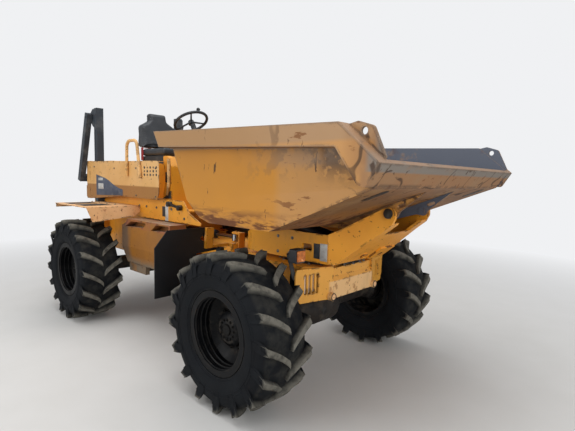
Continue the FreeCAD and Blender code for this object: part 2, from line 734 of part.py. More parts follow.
def barrel_profile(outer, piston, shaft, first, last, gland):
    """Half section of a ram's barrel, closed at its first end."""
    return [
        (first - 10, 0), (first - 10, outer * 0.55), (first, outer * 0.55), (first, outer),
        (last, outer), (last, shaft + RAM_FIT), (last - gland, shaft + RAM_FIT),
        (last - gland, piston + RAM_FIT), (first + 20, piston + RAM_FIT), (first + 20, 0),
    ]


def steer_barrel(side):
    """Barrel of a steering ram, on the rear frame."""
    base, eye, pin = ram_pose("steer", side)
    length, along = ram_places(base, eye)
    piston = STEER_ROD_RADIUS + 14
    section = barrel_profile(STEER_BARREL_RADIUS, piston, STEER_ROD_RADIUS, 38, 470, 36)
    end, bore = pivot_eye(base, pin, 34, 56, STEER_PIN_RADIUS + RUNNING_FIT)
    return [join(turned(section, base, along), end).cut(bore)]


def steer_rod(side):
    """Rod of a steering ram, with its eye between the front frame's fork."""
    base, eye, pin = ram_pose("steer", side)
    length, along = ram_places(base, eye)
    piston = STEER_ROD_RADIUS + 14
    section = [
        (230, 0), (230, piston), (262, piston), (262, STEER_ROD_RADIUS), (length - 20, STEER_ROD_RADIUS),
        (length - 20, 0),
    ]
    end, bore = pivot_eye(eye, pin, 34, 56, STEER_PIN_RADIUS + RUNNING_FIT)
    return [join(turned(section, base, along), end)]


def tip_barrel():
    """Barrel of the tipping ram, on the carrier."""
    base, eye, pin = ram_pose("tip", 1)
    length, along = ram_places(base, eye)
    piston = TIP_ROD_RADIUS + 12
    section = barrel_profile(TIP_BARREL_RADIUS, piston, TIP_ROD_RADIUS, 46, length - 75, 40)
    end, bore = pivot_eye(base, pin, 42, 110, TIP_RAM_PIN_RADIUS + RUNNING_FIT)
    return [join(turned(section, base, along), end).cut(bore)]


def tip_rod():
    """Rod of the tipping ram, with its eye between the skip's lugs."""
    base, eye, pin = ram_pose("tip", 1)
    length, along = ram_places(base, eye)
    piston = TIP_ROD_RADIUS + 12
    section = [
        (90, 0), (90, piston), (130, piston), (130, TIP_ROD_RADIUS), (length - 20, TIP_ROD_RADIUS),
        (length - 20, 0),
    ]
    end, bore = pivot_eye(eye, pin, 42, 84, TIP_RAM_PIN_RADIUS + RUNNING_FIT)
    return [join(turned(section, base, along), end)]


def steer_brackets(base_side):
    """Forks of both steering rams on one frame, each with its pin."""
    shapes = []
    low = FRONT_TOP - 2
    for side in (-1, 1):
        base, eye, pin = ram_pose("steer", side)
        point = base if base_side else eye
        root = point.x - 75 if base_side else point.x + 90
        for z in (STEER_RAM_HEIGHT - 50, STEER_RAM_HEIGHT + 34):
            near, far = sorted((root, point.x + (34 if base_side else -34)))
            shapes.append(prism("z", [
                (near, point.y - 34, 0 if base_side else 30), (far, point.y - 34, 30 if base_side else 0),
                (far, point.y + 34, 30 if base_side else 0), (near, point.y + 34, 0 if base_side else 30),
            ], z, z + 16))
        if base_side:
            shapes.append(rod(STEER_PIN_RADIUS, point - Z * 56, point + Z * 56))
        else:
            shapes.append(rod(STEER_PIN_RADIUS, point - Z * 56, point - Z * 48))
            shapes.append(rod(STEER_PIN_RADIUS, point + Z * 48, point + Z * 56))
        if not base_side:
            shapes.append(box(root - 16, root, point.y - 34, point.y + 34, low, STEER_RAM_HEIGHT + 50))
    return shapes


# Skip

def skip_outline(inset):
    """Side view of the skip's body, moved inwards by a wall."""
    back = FRONT_X - SKIP_REAR + 60
    return [
        (back + inset, RIM_REAR_TOP), (FRONT_X - 505 + inset, SKIP_FLOOR + 150), (FRONT_X - 345 + inset, SKIP_FLOOR + 30 + inset),
        (FRONT_X - 230, SKIP_FLOOR + inset), (FRONT_X + 370, SKIP_FLOOR + inset),
        (FRONT_X + LIP_REACH - LIP_SLOPE, LIP_TOP - LIP_HIGH + inset),
        (FRONT_X + LIP_REACH, LIP_TOP + (60 if inset else 0)),
        (FRONT_X + SHOULDER, RIM_FRONT_TOP + (60 if inset else 0)),
    ]


def skip_body():
    """Open skip: sides, rear and the floor that rises to the lip."""
    half = SKIP_HALF_WIDTH
    outer = prism("y", skip_outline(0.0), -half, half)
    inner = prism("y", skip_outline(SKIP_WALL) + [(FRONT_X - SKIP_REAR + 60 + SKIP_WALL, RIM_REAR_TOP + 60)], -half + SKIP_WALL, half - SKIP_WALL)
    return outer, inner


def skip_shell():
    """Skip body with its box rims, lip, lifting eyes and underframe."""
    outer, inner = skip_body()
    half = SKIP_HALF_WIDTH
    wide = half + RIM_OUT
    rear = FRONT_X - SKIP_REAR
    shoulder = FRONT_X + SHOULDER
    lip = FRONT_X + LIP_REACH
    shapes = [outer]
    side_rim = prism("y", [
        (rear, RIM_REAR_TOP), (rear + 75, RIM_REAR_TOP - RIM_HIGH), (shoulder - 20, RIM_FRONT_TOP - RIM_HIGH),
        (lip - LIP_SLOPE - 35, LIP_TOP - LIP_HIGH + 20, 30), (lip - LIP_SLOPE + 10, LIP_TOP - LIP_HIGH, 25),
        (lip, LIP_TOP), (shoulder, RIM_FRONT_TOP),
    ], -wide, -half + 2)
    shapes += both(side_rim)
    rear_rim = prism("y", [
        (rear, RIM_REAR_TOP), (rear + 75, RIM_REAR_TOP - RIM_HIGH), (rear + 140, RIM_REAR_TOP - RIM_HIGH), (rear + 64, RIM_REAR_TOP),
    ], -wide, wide)
    shapes.append(rear_rim)
    lip_bar = prism("y", [
        (lip - LIP_SLOPE, LIP_TOP - LIP_HIGH), (lip, LIP_TOP), (lip - 60, LIP_TOP + 10), (lip - LIP_SLOPE - 130, LIP_TOP - LIP_HIGH - 20),
    ], -half, half)
    shapes.append(lip_bar)
    body = join(*shapes)
    body = body.cut(inner)
    eye = prism("y", [
        (shoulder - 5, RIM_FRONT_TOP - 6), (shoulder + 60, RIM_FRONT_TOP + 8, 20), (shoulder + 150, RIM_FRONT_TOP - 20, 30),
        (lip - 15, LIP_TOP + 30), (lip - 40, LIP_TOP - 10), (shoulder - 5, RIM_FRONT_TOP - 60),
    ], -half - 14, -half + 2)
    hole = rod(EYE_RADIUS, Vector(shoulder + 98, -half - 40, RIM_FRONT_TOP - 42), Vector(shoulder + 98, -half + 40, RIM_FRONT_TOP - 42))
    eye = eye.cut(hole)
    return [join(body, *both(eye))]


def skip_underframe():
    """Two webs under the skip's floor with the tipping pins and the ram's lugs."""
    slope = (LIP_TOP - LIP_HIGH - SKIP_FLOOR) / (LIP_REACH - LIP_SLOPE - 370)
    front = FRONT_X + LIP_REACH - LIP_SLOPE - 60
    floor_front = SKIP_FLOOR + (front - FRONT_X - 370) * slope - SEAT_GAP
    web = prism("y", [
        (FRONT_X - 505, SKIP_FLOOR + 149), (FRONT_X - 345, SKIP_FLOOR + 30 - SEAT_GAP), (FRONT_X - 230, SKIP_FLOOR - SEAT_GAP),
        (FRONT_X + 370, SKIP_FLOOR - SEAT_GAP), (front, floor_front), (TIP_X + 56, TIP_HEIGHT + 12, 15),
        (TIP_X + 30, TIP_HEIGHT - 38, 34), (TIP_X - 40, TIP_HEIGHT - 30, 34), (FRONT_X + 400, SKIP_FLOOR - 30),
        (FRONT_X - 330, SKIP_FLOOR - 24), (FRONT_X - 480, SKIP_FLOOR - 40, 20), (FRONT_X - 525, SKIP_FLOOR + 20, 20),
    ], -WEB_OUTER, -WEB_INNER)
    lean = Vector(1, 0, slope).normalize()
    across = Vector(-slope, 0, 1).normalize()
    middle = Vector(TIP_X + 70, 0, TIP_HEIGHT + 53)
    ends = [middle + lean * (a * WEB_SLOT_LONG / 2) + across * (b * WEB_SLOT_HIGH / 2) for a, b in ((-1, -1), (1, -1), (1, 1), (-1, 1))]
    web = web.cut(prism("y", [(p.x, p.z, WEB_SLOT_HIGH / 2 - 1) for p in ends], -WEB_OUTER - 10, -WEB_INNER + 10))
    eye_x = FRONT_X + TIP_RAM_EYE[0]
    eye_z = TIP_RAM_EYE[1]
    lug = prism("y", [
        (eye_x - 110, SKIP_FLOOR + 145), (eye_x + 75, SKIP_FLOOR + 11), (eye_x + 40, eye_z - 38, 36), (eye_x - 40, eye_z - 38, 36),
        (eye_x - 110, SKIP_FLOOR + 55),
    ], -66, -50)
    tie = box(eye_x - 110, eye_x - 98, -WEB_OUTER, WEB_OUTER, SKIP_FLOOR + 55, SKIP_FLOOR + 135)
    pin_cap = rod(TIP_RAM_PIN_RADIUS, Vector(eye_x, -76, eye_z), Vector(eye_x, -64, eye_z))
    tip_pin = rod(TIP_PIN_RADIUS, Vector(TIP_X, -TIP_LUG_OUTER - 12, TIP_HEIGHT), Vector(TIP_X, -WEB_INNER + 6, TIP_HEIGHT))
    return [join(tie, *both(web), *both(lug), *both(pin_cap), *both(tip_pin))]


# Rear frame

def rear_chassis():
    """Rear weldment: deep centre box, wide deck and the steering ears."""
    back = FRONT_X - COVER_REAR
    spine_front = PIVOT_X - SPINE_BEHIND
    half = CHASSIS_HALF_WIDTH
    spine = box(back, spine_front, -half, half, CHASSIS_LOW, SPINE_TOP)
    void = box(back - 10, spine_front + 10, -half + FRAME_WALL, half - FRAME_WALL, CHASSIS_LOW - 10, SPINE_TOP - FRAME_WALL)
    spine = spine.cut(void)
    deck_front = PIVOT_X + 120
    side = [
        (back, DECK_LOW), (PIVOT_X + 400, DECK_LOW), (PIVOT_X + 400, DECK_LOW + 20), (PIVOT_X + 215, DECK_LOW + 103),
        (deck_front, DECK_TOP), (back, DECK_TOP),
    ]
    deck_side = prism("y", side, -DECK_HALF_WIDTH, -DECK_HALF_WIDTH + 12)
    deck_floor = box(back, deck_front, -DECK_HALF_WIDTH, DECK_HALF_WIDTH, DECK_FLOOR - 12, DECK_FLOOR)
    shapes = [spine, *both(deck_side), deck_floor]
    for x in (back, REAR_X + 500, spine_front - FRAME_WALL):
        shapes.append(box(x, x + FRAME_WALL, -DECK_HALF_WIDTH, DECK_HALF_WIDTH, DECK_LOW, DECK_LOW + 105))
    for x in (back, REAR_X - 250, REAR_X + 300, spine_front - FRAME_WALL):
        shapes.append(box(x, x + FRAME_WALL, -half, half, CHASSIS_LOW + 120, DECK_LOW + 20))
    low = PIVOT_LOW + EAR_THICK + EAR_GAP
    high = PIVOT_HIGH - EAR_THICK - EAR_GAP
    for z in (low, high - EAR_THICK):
        shapes.append(prism("z", [
            (spine_front - 30, -half + 5), (spine_front, -half + 5), (PIVOT_X + 70, -70, 60),
            (PIVOT_X + 70, 70, 60), (spine_front, half - 5), (spine_front - 30, half - 5),
        ], z, z + EAR_THICK))
    shapes.append(box(spine_front - FRAME_WALL, spine_front, -half, half, CHASSIS_LOW, DECK_LOW))
    web = prism("x", [(-12, low), (12, low), (12, high), (-12, high)], spine_front - 5, PIVOT_X - 90)
    shapes.append(web)
    pin = Part.makeCylinder(PIVOT_PIN_RADIUS, PIVOT_HIGH - PIVOT_LOW + 24, Vector(PIVOT_X, 0, PIVOT_LOW - 12))
    shapes.append(pin)
    shapes += steer_brackets(True)
    return [join(*shapes)]


def step_boxes():
    """Tank boxes beside the chassis: toe recesses near the top, a crease below and an apron."""
    front = FRONT_X - STEP_FRONT
    back = FRONT_X - STEP_REAR
    waist = PIVOT_X - SPINE_BEHIND
    flap = FRONT_X - MUDGUARD_FRONT
    tank = prism("y", [
        (back + 52, STEP_LOW), (front - 60, STEP_LOW), (front, STEP_LOW + 110), (front, STEP_TOP),
        (flap + 20, STEP_TOP), (flap + 5, STEP_TOP - 35), (back, STEP_TOP - 75), (back, STEP_LOW + 150),
    ], -STEP_OUT, -CHASSIS_HALF_WIDTH - SEAT_GAP)
    beside = box(waist, front + 10, -STEP_INNER, 0, STEP_LOW - 10, STEP_TOP + 10)
    crease = prism("x", [
        (-STEP_OUT - 1, STEP_LOW - 1), (-STEP_OUT + 34, STEP_LOW - 1), (-STEP_OUT - 1, STEP_CREASE),
    ], back - 1, front + 1)
    wall = STEP_WALL
    hollow = prism("y", [
        (back + 52 + wall, STEP_LOW + wall), (front - 60 - wall, STEP_LOW + wall), (front - wall, STEP_LOW + 110 + wall),
        (front - wall, STEP_TOP - wall), (flap + 20 + wall, STEP_TOP - wall), (flap + 5, STEP_TOP - 35 - wall),
        (back + wall, STEP_TOP - 75 - wall), (back + wall, STEP_LOW + 150 + wall),
    ], -STEP_OUT + 90 + wall, -CHASSIS_HALF_WIDTH + 10)
    tank = tank.cut(beside).cut(crease).cut(hollow)
    for start, high in ((TOE_REAR, -15), (TOE_FRONT, -12)):
        x = FRONT_X - start
        top = STEP_TOP + high
        long = TOE_LONG if start == TOE_REAR else TOE_LONG * 0.76
        tank = tank.cut(prism("y", [
            (x, top - 68), (x + long * 0.28, top - 6, 10), (x + long * 0.94, top, 10), (x + long, top - 16, 8),
            (x + long * 0.86, top - 52, 10),
        ], -STEP_OUT - 1, -STEP_OUT + 90))
    apron = box(back + 62, FRONT_X - STEP_APRON, -STEP_OUT + 50, -STEP_OUT + 90, APRON_LOW, STEP_LOW + 1)
    return both(join(tank, apron))


def mudguards():
    """Rear mudguards: a flat top with a front flap and a tail lip."""
    front = FRONT_X - MUDGUARD_FRONT
    rear = FRONT_X - MUDGUARD_REAR
    inner = DECK_HALF_WIDTH + SEAT_GAP
    top = prism("z", [
        (front, -inner), (rear, -inner), (rear, -MUDGUARD_OUT, 15), (front, -MUDGUARD_OUT, 15),
    ], MUDGUARD_TOP - MUDGUARD_THICK, MUDGUARD_TOP)
    edge = MUDGUARD_TOP - MUDGUARD_THICK / 2
    flap = prism("x", [
        (-MUDGUARD_OUT + 2, edge), (-MUDGUARD_OUT + 62, MUDGUARD_TOP - FLAP_DROP, 12),
        (-DECK_HALF_WIDTH - 60, MUDGUARD_TOP - FLAP_DROP + 40), (-inner, MUDGUARD_TOP - 60), (-inner, edge),
    ], front - MUDGUARD_THICK, front)
    tail = box(rear, rear + MUDGUARD_THICK, -MUDGUARD_OUT + 12, -inner, MUDGUARD_TOP - 45, edge)
    return both(join(top, flap, tail))


def side_panels():
    """Side covers of the engine bay, with a lip along their top."""
    back = FRONT_X - COVER_REAR
    front = FRONT_X - COVER_FRONT
    half = COVER_HALF_WIDTH
    side = [
        (back + 95, DECK_TOP - 60), (back + 950, DECK_TOP + 4), (front - 30, DECK_TOP + 4), (front, DECK_TOP + 60),
        (front, COVER_TOP - 15, 12), (back + 95, COVER_TOP),
    ]
    panel = prism("y", side, -half, -half + COVER_WALL)
    lip_top = COVER_TOP - 12 - SEAT_GAP
    lip = box(back + 95, front - 110, -half, -BONNET_HALF_WIDTH + 12, lip_top - 6, lip_top)
    notch = box(POST_X - POST_SIZE / 2 - 4, POST_X + POST_SIZE / 2 + 4, -half + COVER_WALL, -BONNET_HALF_WIDTH - 6, 0, 3000)
    foot = box(back + 950, front - 30, -half, -DECK_HALF_WIDTH + 12, DECK_TOP + SEAT_GAP, DECK_TOP + 8)
    return both(join(panel, lip.cut(notch), foot))


def rear_cowl():
    """Rear posts and top band round the radiator outlet."""
    back = FRONT_X - COVER_REAR
    half = COVER_HALF_WIDTH
    deck = DECK_HALF_WIDTH + SEAT_GAP
    outer = box(back, back + 90, -half, half, DECK_TOP + SEAT_GAP - 60, COVER_TOP + 5)
    inner = box(back - 10, back + 100, -half + 80, half - 80, DECK_TOP - 100, COVER_TOP - 70)
    under = box(back - 10, back + 100, -deck, deck, 0, DECK_TOP + SEAT_GAP)
    frame = outer.cut(inner).cut(under)
    hood = box(back - LAMP_DEEP, back + 1, -half + 9, -half + 9 + LAMP_WIDE, LAMP_LOW, LAMP_LOW + LAMP_TALL)
    glass = box(back - LAMP_DEEP - 1, back - 8, -half + 15, -half + 3 + LAMP_WIDE, LAMP_LOW + 6, LAMP_LOW + LAMP_TALL - 6)
    return [join(frame, *both(hood.cut(glass)))]


def rear_grille():
    """Louvred grille in the rear cowl."""
    back = FRONT_X - COVER_REAR
    half = COVER_HALF_WIDTH - 80 - SEAT_GAP
    low = DECK_TOP + SEAT_GAP
    high = COVER_TOP - 70 - SEAT_GAP
    frame = box(back + 30, back + 60, -half, half, low, high)
    frame = frame.cut(box(back, back + 100, -half + 25, half - 25, low + 25, high - 25))
    bars = []
    count = 7
    pitch = (high - low - 50) / count
    for i in range(count):
        z = low + 25 + (i + 0.5) * pitch
        bar = [(back + 32, z - 14), (back + 58, z + 6), (back + 58, z + 12), (back + 32, z - 8)]
        bars.append(prism("y", bar, -half + 20, half - 20))
    return [join(frame, *bars)]


def bonnet_hinge(axis):
    """Left hinge of the bonnet: the lid's barrel, the lid's notch and the fixed knuckles with their wire."""
    inner = HINGE_OUT - HINGE_LONG
    low = inner - KNUCKLE_GAP - KNUCKLE_LONG
    high = HINGE_OUT + KNUCKLE_GAP + KNUCKLE_LONG
    clear = HINGE_TUBE + 6
    barrel = rod(HINGE_TUBE, axis + Y * inner, axis + Y * HINGE_OUT)
    shapes = [rod(HINGE_WIRE, axis + Y * low, axis + Y * high)]
    notches = []
    for y in (low, high - KNUCKLE_LONG):
        shapes.append(rod(HINGE_TUBE, axis + Y * y, axis + Y * (y + KNUCKLE_LONG)))
        shapes.append(box(axis.x, axis.x + 24, y, y + KNUCKLE_LONG, SEAT_BOX_TOP - 3, axis.z))
        notches.append(box(axis.x - clear, axis.x + 50, y - KNUCKLE_GAP, y + KNUCKLE_LONG + KNUCKLE_GAP, axis.z - 50, axis.z + 50))
    return barrel, notches[0].fuse(notches[1]), join(*shapes)


def bonnet():
    """Lid over the engine: a folded sheet with hinge barrels at its front edge."""
    back = FRONT_X - BONNET_BACK
    front = FRONT_X - BONNET_HINGE_BACK
    low = COVER_TOP - 12
    high = low + BONNET_THICK
    lid = prism("y", [
        (back, low), (front, low), (front, high - 8), (front - 60, high, 30), (back + 40, high, 30), (back, high - 8),
    ], -BONNET_HALF_WIDTH, BONNET_HALF_WIDTH)
    hollow = box(back + COVER_WALL, front - COVER_WALL, -BONNET_HALF_WIDTH + COVER_WALL,
                 BONNET_HALF_WIDTH - COVER_WALL, low - 1, high - COVER_WALL - 6)
    barrel, notch, knuckle = bonnet_hinge(Vector(front, 0, COVER_TOP - 4))
    bore = rod(HINGE_WIRE + RUNNING_FIT, Vector(front, -600, COVER_TOP - 4), Vector(front, 600, COVER_TOP - 4))
    lid = lid.cut(hollow)
    for part in both(notch):
        lid = lid.cut(part)
    return [join(lid, *both(barrel)).cut(bore)]


def engine_block():
    """Engine and its radiator as one plain block."""
    return [box(FRONT_X - ENGINE_REAR, FRONT_X - ENGINE_FRONT, -ENGINE_HALF, ENGINE_HALF,
                SPINE_TOP + SEAT_GAP, ENGINE_TOP)]


def seat_base():
    """Hollow box that carries the seat over the engine bay's front."""
    front = FRONT_X - SEAT_BOX_FRONT
    back = FRONT_X - SEAT_BOX_REAR
    half = BONNET_HALF_WIDTH - 52
    wall = COVER_WALL
    body = box(back, front, -half, half, SPINE_TOP + SEAT_GAP, SEAT_BOX_TOP)
    inner = box(back + wall, front - wall, -half + wall, half - wall, SPINE_TOP - 10, SEAT_BOX_TOP - wall)
    cover = box(back - 105, back + 10, -BONNET_HALF_WIDTH, BONNET_HALF_WIDTH, SEAT_BOX_TOP - wall, SEAT_BOX_TOP)
    barrel, notch, knuckle = bonnet_hinge(Vector(FRONT_X - BONNET_HINGE_BACK, 0, COVER_TOP - 4))
    return [join(body.cut(inner), cover, *both(knuckle))]


def footwell():
    """Hollow front console with its sloping face, on the deck."""
    front = FRONT_X - CONSOLE_FRONT
    back = front - CONSOLE_DEEP
    spine_front = PIVOT_X - SPINE_BEHIND + SEAT_GAP
    low = SPINE_TOP + SEAT_GAP
    foot_low = DECK_FLOOR + SEAT_GAP
    side = [
        (back, low), (spine_front, low), (spine_front, foot_low), (front, foot_low),
        (front, CONSOLE_TOP - 105, 40), (front - 60, CONSOLE_TOP, 40), (back + 30, CONSOLE_TOP, 20), (back + 70, low + 225),
    ]
    wall = COVER_WALL
    inside = [
        (back + wall, low - 9), (spine_front + wall, low - 9), (spine_front + wall, foot_low - 9), (front - wall, foot_low - 9),
        (front - wall, CONSOLE_TOP - 105), (front - 60 - wall, CONSOLE_TOP - wall), (back + 45, CONSOLE_TOP - wall),
        (back + 80, low + 225), (back + wall, low + 4),
    ]
    foot, top = column_ends()
    shell = prism("y", side, -CONSOLE_HALF, CONSOLE_HALF)
    shell = shell.cut(prism("y", inside, -CONSOLE_HALF + wall, CONSOLE_HALF - wall))
    collar = rod(COLUMN_RADIUS + 14, foot, foot + (top - foot).normalize() * COLLAR_LONG)
    collar = collar.common(prism("y", side, -CONSOLE_HALF, CONSOLE_HALF))
    return [join(shell, collar).cut(rod(COLUMN_RADIUS + SEAT_GAP, foot, top))]


def seat_block(back, depth, half, low, high):
    """Upright block of the seat, from its back."""
    return box(back, back + depth, -half, half, low, high)


def seat_frame():
    """Suspension box under the seat cushion."""
    return [seat_block(FRONT_X - SEAT_REAR + 10, SEAT_DEEP - 60, SEAT_HALF - 35, SEAT_BOX_TOP + SEAT_GAP, CUSHION_LOW)]


def seat_cushion():
    """Seat cushion."""
    return [seat_block(FRONT_X - SEAT_REAR, SEAT_DEEP, SEAT_HALF, CUSHION_LOW + SEAT_GAP, CUSHION_TOP)]


def seat_back():
    """Seat back with its head end."""
    x = FRONT_X - SEAT_REAR
    top = CUSHION_TOP + BACK_TALL
    back = prism("y", [
        (x, CUSHION_TOP + SEAT_GAP), (x + 90, CUSHION_TOP + SEAT_GAP), (x - 10, top, 30), (x - 90, top, 30),
        (x - 60, CUSHION_TOP + 20),
    ], -SEAT_HALF, SEAT_HALF)
    shape = prism("x", [
        (-SEAT_HALF, CUSHION_LOW), (SEAT_HALF, CUSHION_LOW), (SEAT_HALF, top - 180, 60), (SEAT_HALF / 2, top - 100, 40),
        (HEAD_HALF, top + 15, 60), (-HEAD_HALF, top + 15, 60), (-SEAT_HALF / 2, top - 100, 40), (-SEAT_HALF, top - 180, 60),
    ], x - 200, x + 200)
    return [back.common(shape)]


def column_ends():
    """Foot and top of the steering column."""
    foot = Vector(FRONT_X - CONSOLE_FRONT - 85, 0, CONSOLE_TOP - 65)
    return foot, foot + Vector(-COLUMN_BACK, 0, COLUMN_RISE)


def steering_column():
    """Steering column out of the console."""
    foot, top = column_ends()
    return [rod(COLUMN_RADIUS, foot + (top - foot).normalize() * SEAT_GAP, top)]


def steering_wheel():
    """Wheel on the column: an eight-sided ring on three spokes."""
    foot, top = column_ends()
    normal = (top - foot).normalize()
    centre = top + normal * SEAT_GAP
    rise = WHEEL_RISE
    ring = turned([
        (rise + WHEEL_GRIP * math.sin(math.radians(a)), WHEEL_RADIUS + WHEEL_GRIP * math.cos(math.radians(a)))
        for a in range(0, 360, 45)
    ], centre, normal)
    shapes = [rod(34, centre, centre + normal * (rise + 15))]
    across = Vector(normal.z, 0, -normal.x)
    for angle in (90, 210, 330):
        out = Y * math.sin(math.radians(angle)) + across * math.cos(math.radians(angle))
        shapes.append(rod(10, centre + normal * rise, centre + normal * rise + out * WHEEL_RADIUS))
    return [join(ring, *shapes)]


def handrails():
    """Hoop beside the seat and rail beside the console, on each side."""
    y = -COVER_HALF_WIDTH - RAIL_RADIUS - SEAT_GAP
    x = FRONT_X - RAIL_BACK
    hoop = bent_tube([
        Vector(x, y, COVER_TOP - 165), Vector(x + 10, y, COVER_TOP + 200), Vector(x + 220, y, COVER_TOP + 200),
        Vector(x + 290, y, COVER_TOP - 185),
    ], RAIL_RADIUS, 70)
    inner = -CONSOLE_HALF - RAIL_RADIUS - SEAT_GAP
    front = FRONT_X - CONSOLE_FRONT - 20
    rail = bent_tube([
        Vector(front - 25, inner, DECK_TOP + 45), Vector(front, inner, DECK_TOP + 165), Vector(front, inner, COVER_TOP + 10),
    ], RAIL_RADIUS, 60)
    return both(hoop) + both(rail)


def lock_bar():
    """Bar that locks the steering pivot for transport, stowed on the side."""
    y = -DECK_HALF_WIDTH - 22
    front = Vector(FRONT_X - LOCK_FRONT, y, DECK_TOP - 65)
    back = Vector(FRONT_X - LOCK_FRONT - LOCK_LONG, y, DECK_TOP - 39)
    bar = rod(LOCK_RADIUS, back, front)
    ends = [rod(2 * LOCK_RADIUS, p - Y * 20, Vector(p.x, -DECK_HALF_WIDTH - SEAT_GAP, p.z)) for p in (back, front)]
    return [join(bar, *ends)]


def rear_bumper():
    """Rear bumper block with the towing jaw and its pin hole."""
    back = FRONT_X - BUMPER_REAR
    front = FRONT_X - COVER_REAR - SEAT_GAP
    half = BUMPER_HALF
    beam = prism("z", [
        (front, -half), (back + 20, -half), (back, -half + 80), (back, half - 80), (back + 20, half), (front, half),
    ], BUMPER_LOW, BUMPER_TOP)
    jaw = box(back - 2, front, -JAW_HALF, JAW_HALF, JAW_LOW, BUMPER_LOW + 1)
    throat = box(back - 10, front - 30, -JAW_HALF - 15, JAW_HALF + 15, JAW_LOW + JAW_PLATE, BUMPER_LOW - JAW_PLATE + 10)
    hole = Part.makeCylinder(16, 400, Vector(back + 35, 0, JAW_LOW - 10))
    pocket = box(back - 10, back + 55, -JAW_HALF - 15, JAW_HALF + 15, BUMPER_LOW - 10, BUMPER_TOP + 10)
    return [join(beam.cut(pocket), jaw.cut(throat)).cut(hole)]


def roll_posts():
    """Fixed lower legs of the roll hoop with their hinge plates."""
    half = POST_SIZE / 2
    y0 = POST_INNER
    post = box(POST_X - half, POST_X + half, y0, y0 + POST_SIZE, POST_FOOT, POST_TOP)
    hinge = Vector(FRONT_X - HINGE_BACK, 0, HINGE_HEIGHT)
    plate = prism("y", [
        (POST_X + half, POST_TOP - 15), (POST_X - half - 10, POST_TOP - 10, 15), (hinge.x - 42, hinge.z + 36, 34),
        (hinge.x - 38, hinge.z - 40, 34), (POST_X - half - 8, hinge.z - 110, 15), (POST_X + half, hinge.z - 160),
    ], y0 + POST_SIZE, y0 + POST_SIZE + BRACKET)
    bore = rod(HINGE_PIN_RADIUS + RUNNING_FIT, hinge, hinge + Y * 900)
    return both(join(post, plate).cut(bore))


def roll_hoop():
    """Upper hoop, folded back and down."""
    hinge = Vector(FRONT_X - HINGE_BACK, 0, HINGE_HEIGHT)
    half = LEG_SIZE / 2
    outer = LEG_INNER + LEG_WIDTH
    leg = box(-half, half, LEG_INNER, outer, -LEG_LENGTH, half)
    bar = box(-half, half, -outer, outer, -LEG_LENGTH, -LEG_LENGTH + LEG_SIZE)
    hoop = join(bar, *both(leg))
    hoop.rotate(Vector(0, 0, 0), Y, FOLD_ANGLE)
    hoop.translate(hinge)
    pin = rod(HINGE_PIN_RADIUS, hinge + Y * (POST_INNER + POST_SIZE - 14), hinge + Y * (outer + 8))
    return [join(hoop, *both(pin))]


NODES = {
    "front_axle": lambda: axle(FRONT_X, FRONT_LOW, FRONT_HALF_WIDTH, -1, False),
    "rear_axle": lambda: axle(REAR_X, CHASSIS_LOW, CHASSIS_HALF_WIDTH, 1, True),
    "front_chassis": front_chassis,
    "front_beam": front_beam,
    "headlamps": headlamps,
    "side_lamps": side_lamps,
    "side_lenses": side_lenses,
    "wheel_guards": wheel_guards,
    "guard_posts": guard_posts,
    "slew_ring_lower": slew_ring_lower,
    "slew_ring_upper": slew_ring_upper,
    "carrier_frame": carrier_frame,
    "steer_barrel_right": lambda: steer_barrel(-1),
    "steer_rod_right": lambda: steer_rod(-1),
    "steer_barrel_left": lambda: steer_barrel(1),
    "steer_rod_left": lambda: steer_rod(1),
    "tip_barrel": tip_barrel,
    "tip_rod": tip_rod,
    "skip_shell": skip_shell,
    "skip_underframe": skip_underframe,
    "rear_chassis": rear_chassis,
    "step_boxes": step_boxes,
    "mudguards": mudguards,
    "side_panels": side_panels,
    "rear_cowl": rear_cowl,
    "rear_grille": rear_grille,
    "bonnet": bonnet,
    "engine_block": engine_block,
    "seat_base": seat_base,
    "footwell": footwell,
    "seat_frame": seat_frame,
    "seat_cushion": seat_cushion,
    "seat_back": seat_back,
    "steering_column": steering_column,
    "steering_wheel": steering_wheel,
    "handrails": handrails,
    "lock_bar": lock_bar,
    "rear_bumper": rear_bumper,
    "roll_posts": roll_posts,
    "roll_hoop": roll_hoop,
}


def main():
    os.makedirs("parts", exist_ok=True)
    nodes = dict(NODES)
    for name, axle_x, side in WHEELS:
        nodes["tyre_" + name] = lambda x=axle_x, s=side: tyre(x, s)
        nodes["rim_" + name] = lambda x=axle_x, s=side: rim(x, s)
    for name, make in nodes.items():
        solids = []
        for shape in make():
            solids += shape.Solids
        Part.makeCompound(solids).exportStep("parts/" + name + ".step")
        box_ = Part.makeCompound(solids).BoundBox
        print(name, len(solids), round(sum(s.Volume for s in solids) / 1e6, 2), all(s.isValid() for s in solids),
              [round(v) for v in (box_.XMin, box_.XMax, box_.YMin, box_.YMax, box_.ZMin, box_.ZMax)])


main()
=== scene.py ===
"""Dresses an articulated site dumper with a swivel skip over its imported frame.

Metres. +X is forward, +Y is the machine's left and +Z is up, as in the frame.
"""
from __future__ import annotations

import json
import logging
import math
from dataclasses import dataclass, field
from enum import Enum
from typing import Any, Iterable, Sequence

import bmesh
import bpy
from mathutils import Matrix, Vector

